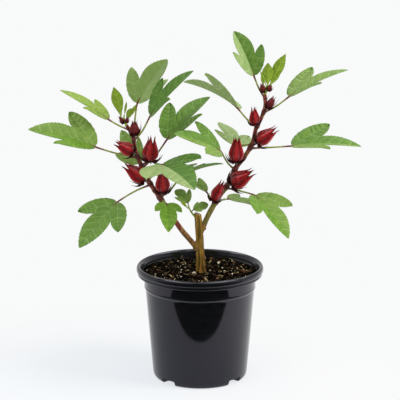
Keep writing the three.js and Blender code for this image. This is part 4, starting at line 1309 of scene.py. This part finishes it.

# %% Kernel and bracts
# The kernel is the seed pod inside the urn; its dark colour is painted shade, for the shade deep in the cup.
KERNEL = [
    (0.1, 0.03), (0.5, 0.07), (0.8, 0.2), (0.86, 0.36),
    (0.76, 0.52), (0.52, 0.66), (0.25, 0.74), (0.05, 0.77),
]
BRACTS = 8
BRACT_PATH = [(0.2, 0.04), (0.62, 0.01), (1.0, 0.05), (1.3, 0.14), (1.55, 0.3)]
BRACT_RADIUS, BRACT_TIP, BRACT_BLUNT = 0.06, 0.006, 2.2

kernel_corners, kernel_faces = arrays_of(turned("kernel", [(r / MM, h / MM) for r, h in KERNEL], 16))


def bract_part(i):
    """One slim bract that bends up beside the urn."""
    angle = 2 * math.pi * (i + 0.3) / BRACTS
    bend = 0.85 + 0.25 * ((i * 5) % 3)
    points = [(r * math.cos(angle), r * math.sin(angle), h * bend) for r, h in BRACT_PATH]
    path = smooth_path(points, 0.12)
    return tube(path, BRACT_RADIUS * (1 - shares_of(path) ** BRACT_BLUNT) + BRACT_TIP, 6)


BODY_RED, DARK, KERNEL_RED, STALK, DUSK, KEEL_RED, GROOVE_RED = range(7)
TIP_FROM, FOOT_WITHIN = 0.95, 0.3
GROOVE_FROM, KEEL_TO, KEEL_HEIGHTS = 0.9, 0.3, (0.12, 0.84)


def urn_kinds(corners, faces):
    """Groove, tip, keel or body: the colour of each face of the urn, with painted shade in the grooves and a
    painted highlight along the keels.
    """
    kinds = []
    for face in faces:
        x, y, z = corners[list(face)].mean(axis=0)
        angle = (math.atan2(y, x) + math.pi / 2) * SEPALS / (2 * math.pi)
        off_keel = abs(angle - round(angle)) * 2
        if z > TIP_FROM or math.hypot(x, y) < FOOT_WITHIN:
            kinds.append(DARK)
        # Painted shade: a darker red in the groove between two sepals.
        elif off_keel > GROOVE_FROM and z < FUSED_UNTIL:
            kinds.append(GROOVE_RED)
        # Painted highlight: a lighter red along the middle of each sepal, where the gloss shines.
        elif off_keel < KEEL_TO and KEEL_HEIGHTS[0] < z < KEEL_HEIGHTS[1]:
            kinds.append(KEEL_RED)
        else:
            kinds.append(BODY_RED)
    return kinds


urn_parts = [
    (urn_corners, urn_faces, urn_kinds(urn_corners, urn_faces)),
    (kernel_corners, kernel_faces, [KERNEL_RED] * len(kernel_faces)),
]
bract_parts = [bract_part(i) for i in range(BRACTS)]
print("calyx faces:", sum(len(part[1]) for part in urn_parts + bract_parts))

# %% The skin of a calyx
def calyx_skin(name, light, dark, **sockets):
    """The fleshy, slightly waxy skin of a calyx."""
    return mottled_material(
        name, light, dark, 260, contrast=2.4, rough=(0.24, 0.36), bump=0.25, bump_scale=600,
        Specular_IOR_Level=0.3, **sockets,
    )


calyx_finishes = [
    calyx_skin("calyx_red", (0.3, 0.005, 0.007), (0.13, 0.003, 0.005)),
    calyx_skin("calyx_dark", (0.06, 0.006, 0.007), (0.018, 0.003, 0.004)),
    calyx_skin("calyx_kernel", (0.06, 0.014, 0.01), (0.02, 0.006, 0.005)),
    calyx_skin("calyx_stalk", (0.1, 0.02, 0.016), (0.035, 0.008, 0.007)),
    calyx_skin("calyx_dusk", (0.2, 0.02, 0.022), (0.07, 0.008, 0.009)),
    # The lighter keel skin is a painted highlight, and the darker groove skin below is painted shade.
    calyx_skin(
        "calyx_keel", (0.46, 0.018, 0.022), (0.24, 0.006, 0.009), Coat_Weight=0.15, Coat_Roughness=0.18,
    ),
    calyx_skin("calyx_groove", (0.2, 0.005, 0.009), (0.1, 0.003, 0.006)),
]
print("finishes of a calyx:", [material.name for material in calyx_finishes])

# %% Calyces in their places
STALK_RADIUS, STALK_SHARE, STALK_INSIDE = 1.3, 0.18, 0.08
TURN_STEP = 17
BUD_SHORT, BUD_BRACTS = 0.82, 2.2


def calyx_parts(spec, path):
    """A copy of the calyx on its stalk."""
    start = at_height(path, spec["height"])
    foot = start + spec["stalk"]
    length = np.linalg.norm(spec["body"])
    direction = np.array(spec["body"], float) / length
    lean = np.array(Vector((0, 0, 1)).rotation_difference(Vector(direction)).to_matrix())
    way = lean @ turn("Z", math.radians(TURN_STEP * spec["height"]))
    size = np.array((spec["width"] / 2, spec["width"] / 2, length))
    urn_size = size * (1, 1, BUD_SHORT if spec["dark"] else 1)
    bract_size = size * (1, 1, BUD_BRACTS if spec["dark"] else 1)
    parts = []
    for corners, faces, kinds in urn_parts:
        if spec["dark"]:
            kinds = [DUSK if kind in (BODY_RED, KEEL_RED, GROOVE_RED) else kind for kind in kinds]
        parts.append(((corners * urn_size) @ way.T + foot, faces, kinds))
    for corners, faces in bract_parts:
        parts.append(((corners * bract_size) @ way.T + foot, faces, DARK))
    inside = foot + direction * STALK_INSIDE * length
    stalk_path = smooth_path([start, 0.5 * (start + foot), foot, inside], 1.0)
    radius = min(STALK_RADIUS, STALK_SHARE * spec["width"])
    swell = 1 + 0.5 * shares_of(stalk_path) ** 3
    parts.append((*tube(stalk_path, radius * swell, 10), STALK))
    return parts


def calyces_piece(name, groups):
    """All calyces of one group in one mesh."""
    parts = [part for side in groups for spec in CALYCES[side] for part in calyx_parts(spec, PATHS[side])]
    piece = joined_mesh(name, parts)
    dress(piece, *calyx_finishes)
    return piece


for side in ("left", "right"):
    calyces = calyces_piece(f"{side}_calyx_fruit", [side])
    finish(calyces, 50, "calyx", *nodes_of(side, "calyx", CALYCES))

# %% [markdown]
# ## Young growth
# Each bough ends in a tuft: a short soft stem with a few small yellow-green leaves and dark buds.
# A third shoot grows out of the trunk. They follow the same rules as the large leaves and calyces.

# %% Tips and side shoot
SHOOTS = {
    "left_tip": ("left_shoot_tip", 1.8),
    "right_tip": ("right_shoot_tip", 1.9),
    "side_shoot": ("side_shoot", 1.4),
}
STEM_TAPER = 0.35
YOUNG_STALK_SCALE = 0.7

shoot_nodes = [node for node, radius in SHOOTS.values()]
stem_parts = []
for side, (node, radius) in SHOOTS.items():
    path = smooth_path(PATHS[side], 0.8)
    stem_parts.append((*tube(path, radius * (1 - STEM_TAPER * shares_of(path)), 12), YOUNG))
    for spec in LEAVES[side]:
        corners, faces, kinds = stalk_part(spec, YOUNG_STALK_SCALE)
        stem_parts.append((corners, faces, YOUNG if spec["tint"][0] == "young" else kinds))
young_stems = joined_mesh("young_stems", stem_parts)
dress(young_stems, *stalk_finishes)
finish(young_stems, 60, "young_leaf", *shoot_nodes)
young_leaves = [spec for side in SHOOTS for spec in LEAVES[side]]
finish(blades_piece("young_leaf_blades", young_leaves, 0.5), 60, "young_leaf", *shoot_nodes)
finish(calyces_piece("young_buds", SHOOTS), 50, "calyx", *shoot_nodes)

# %% [markdown]
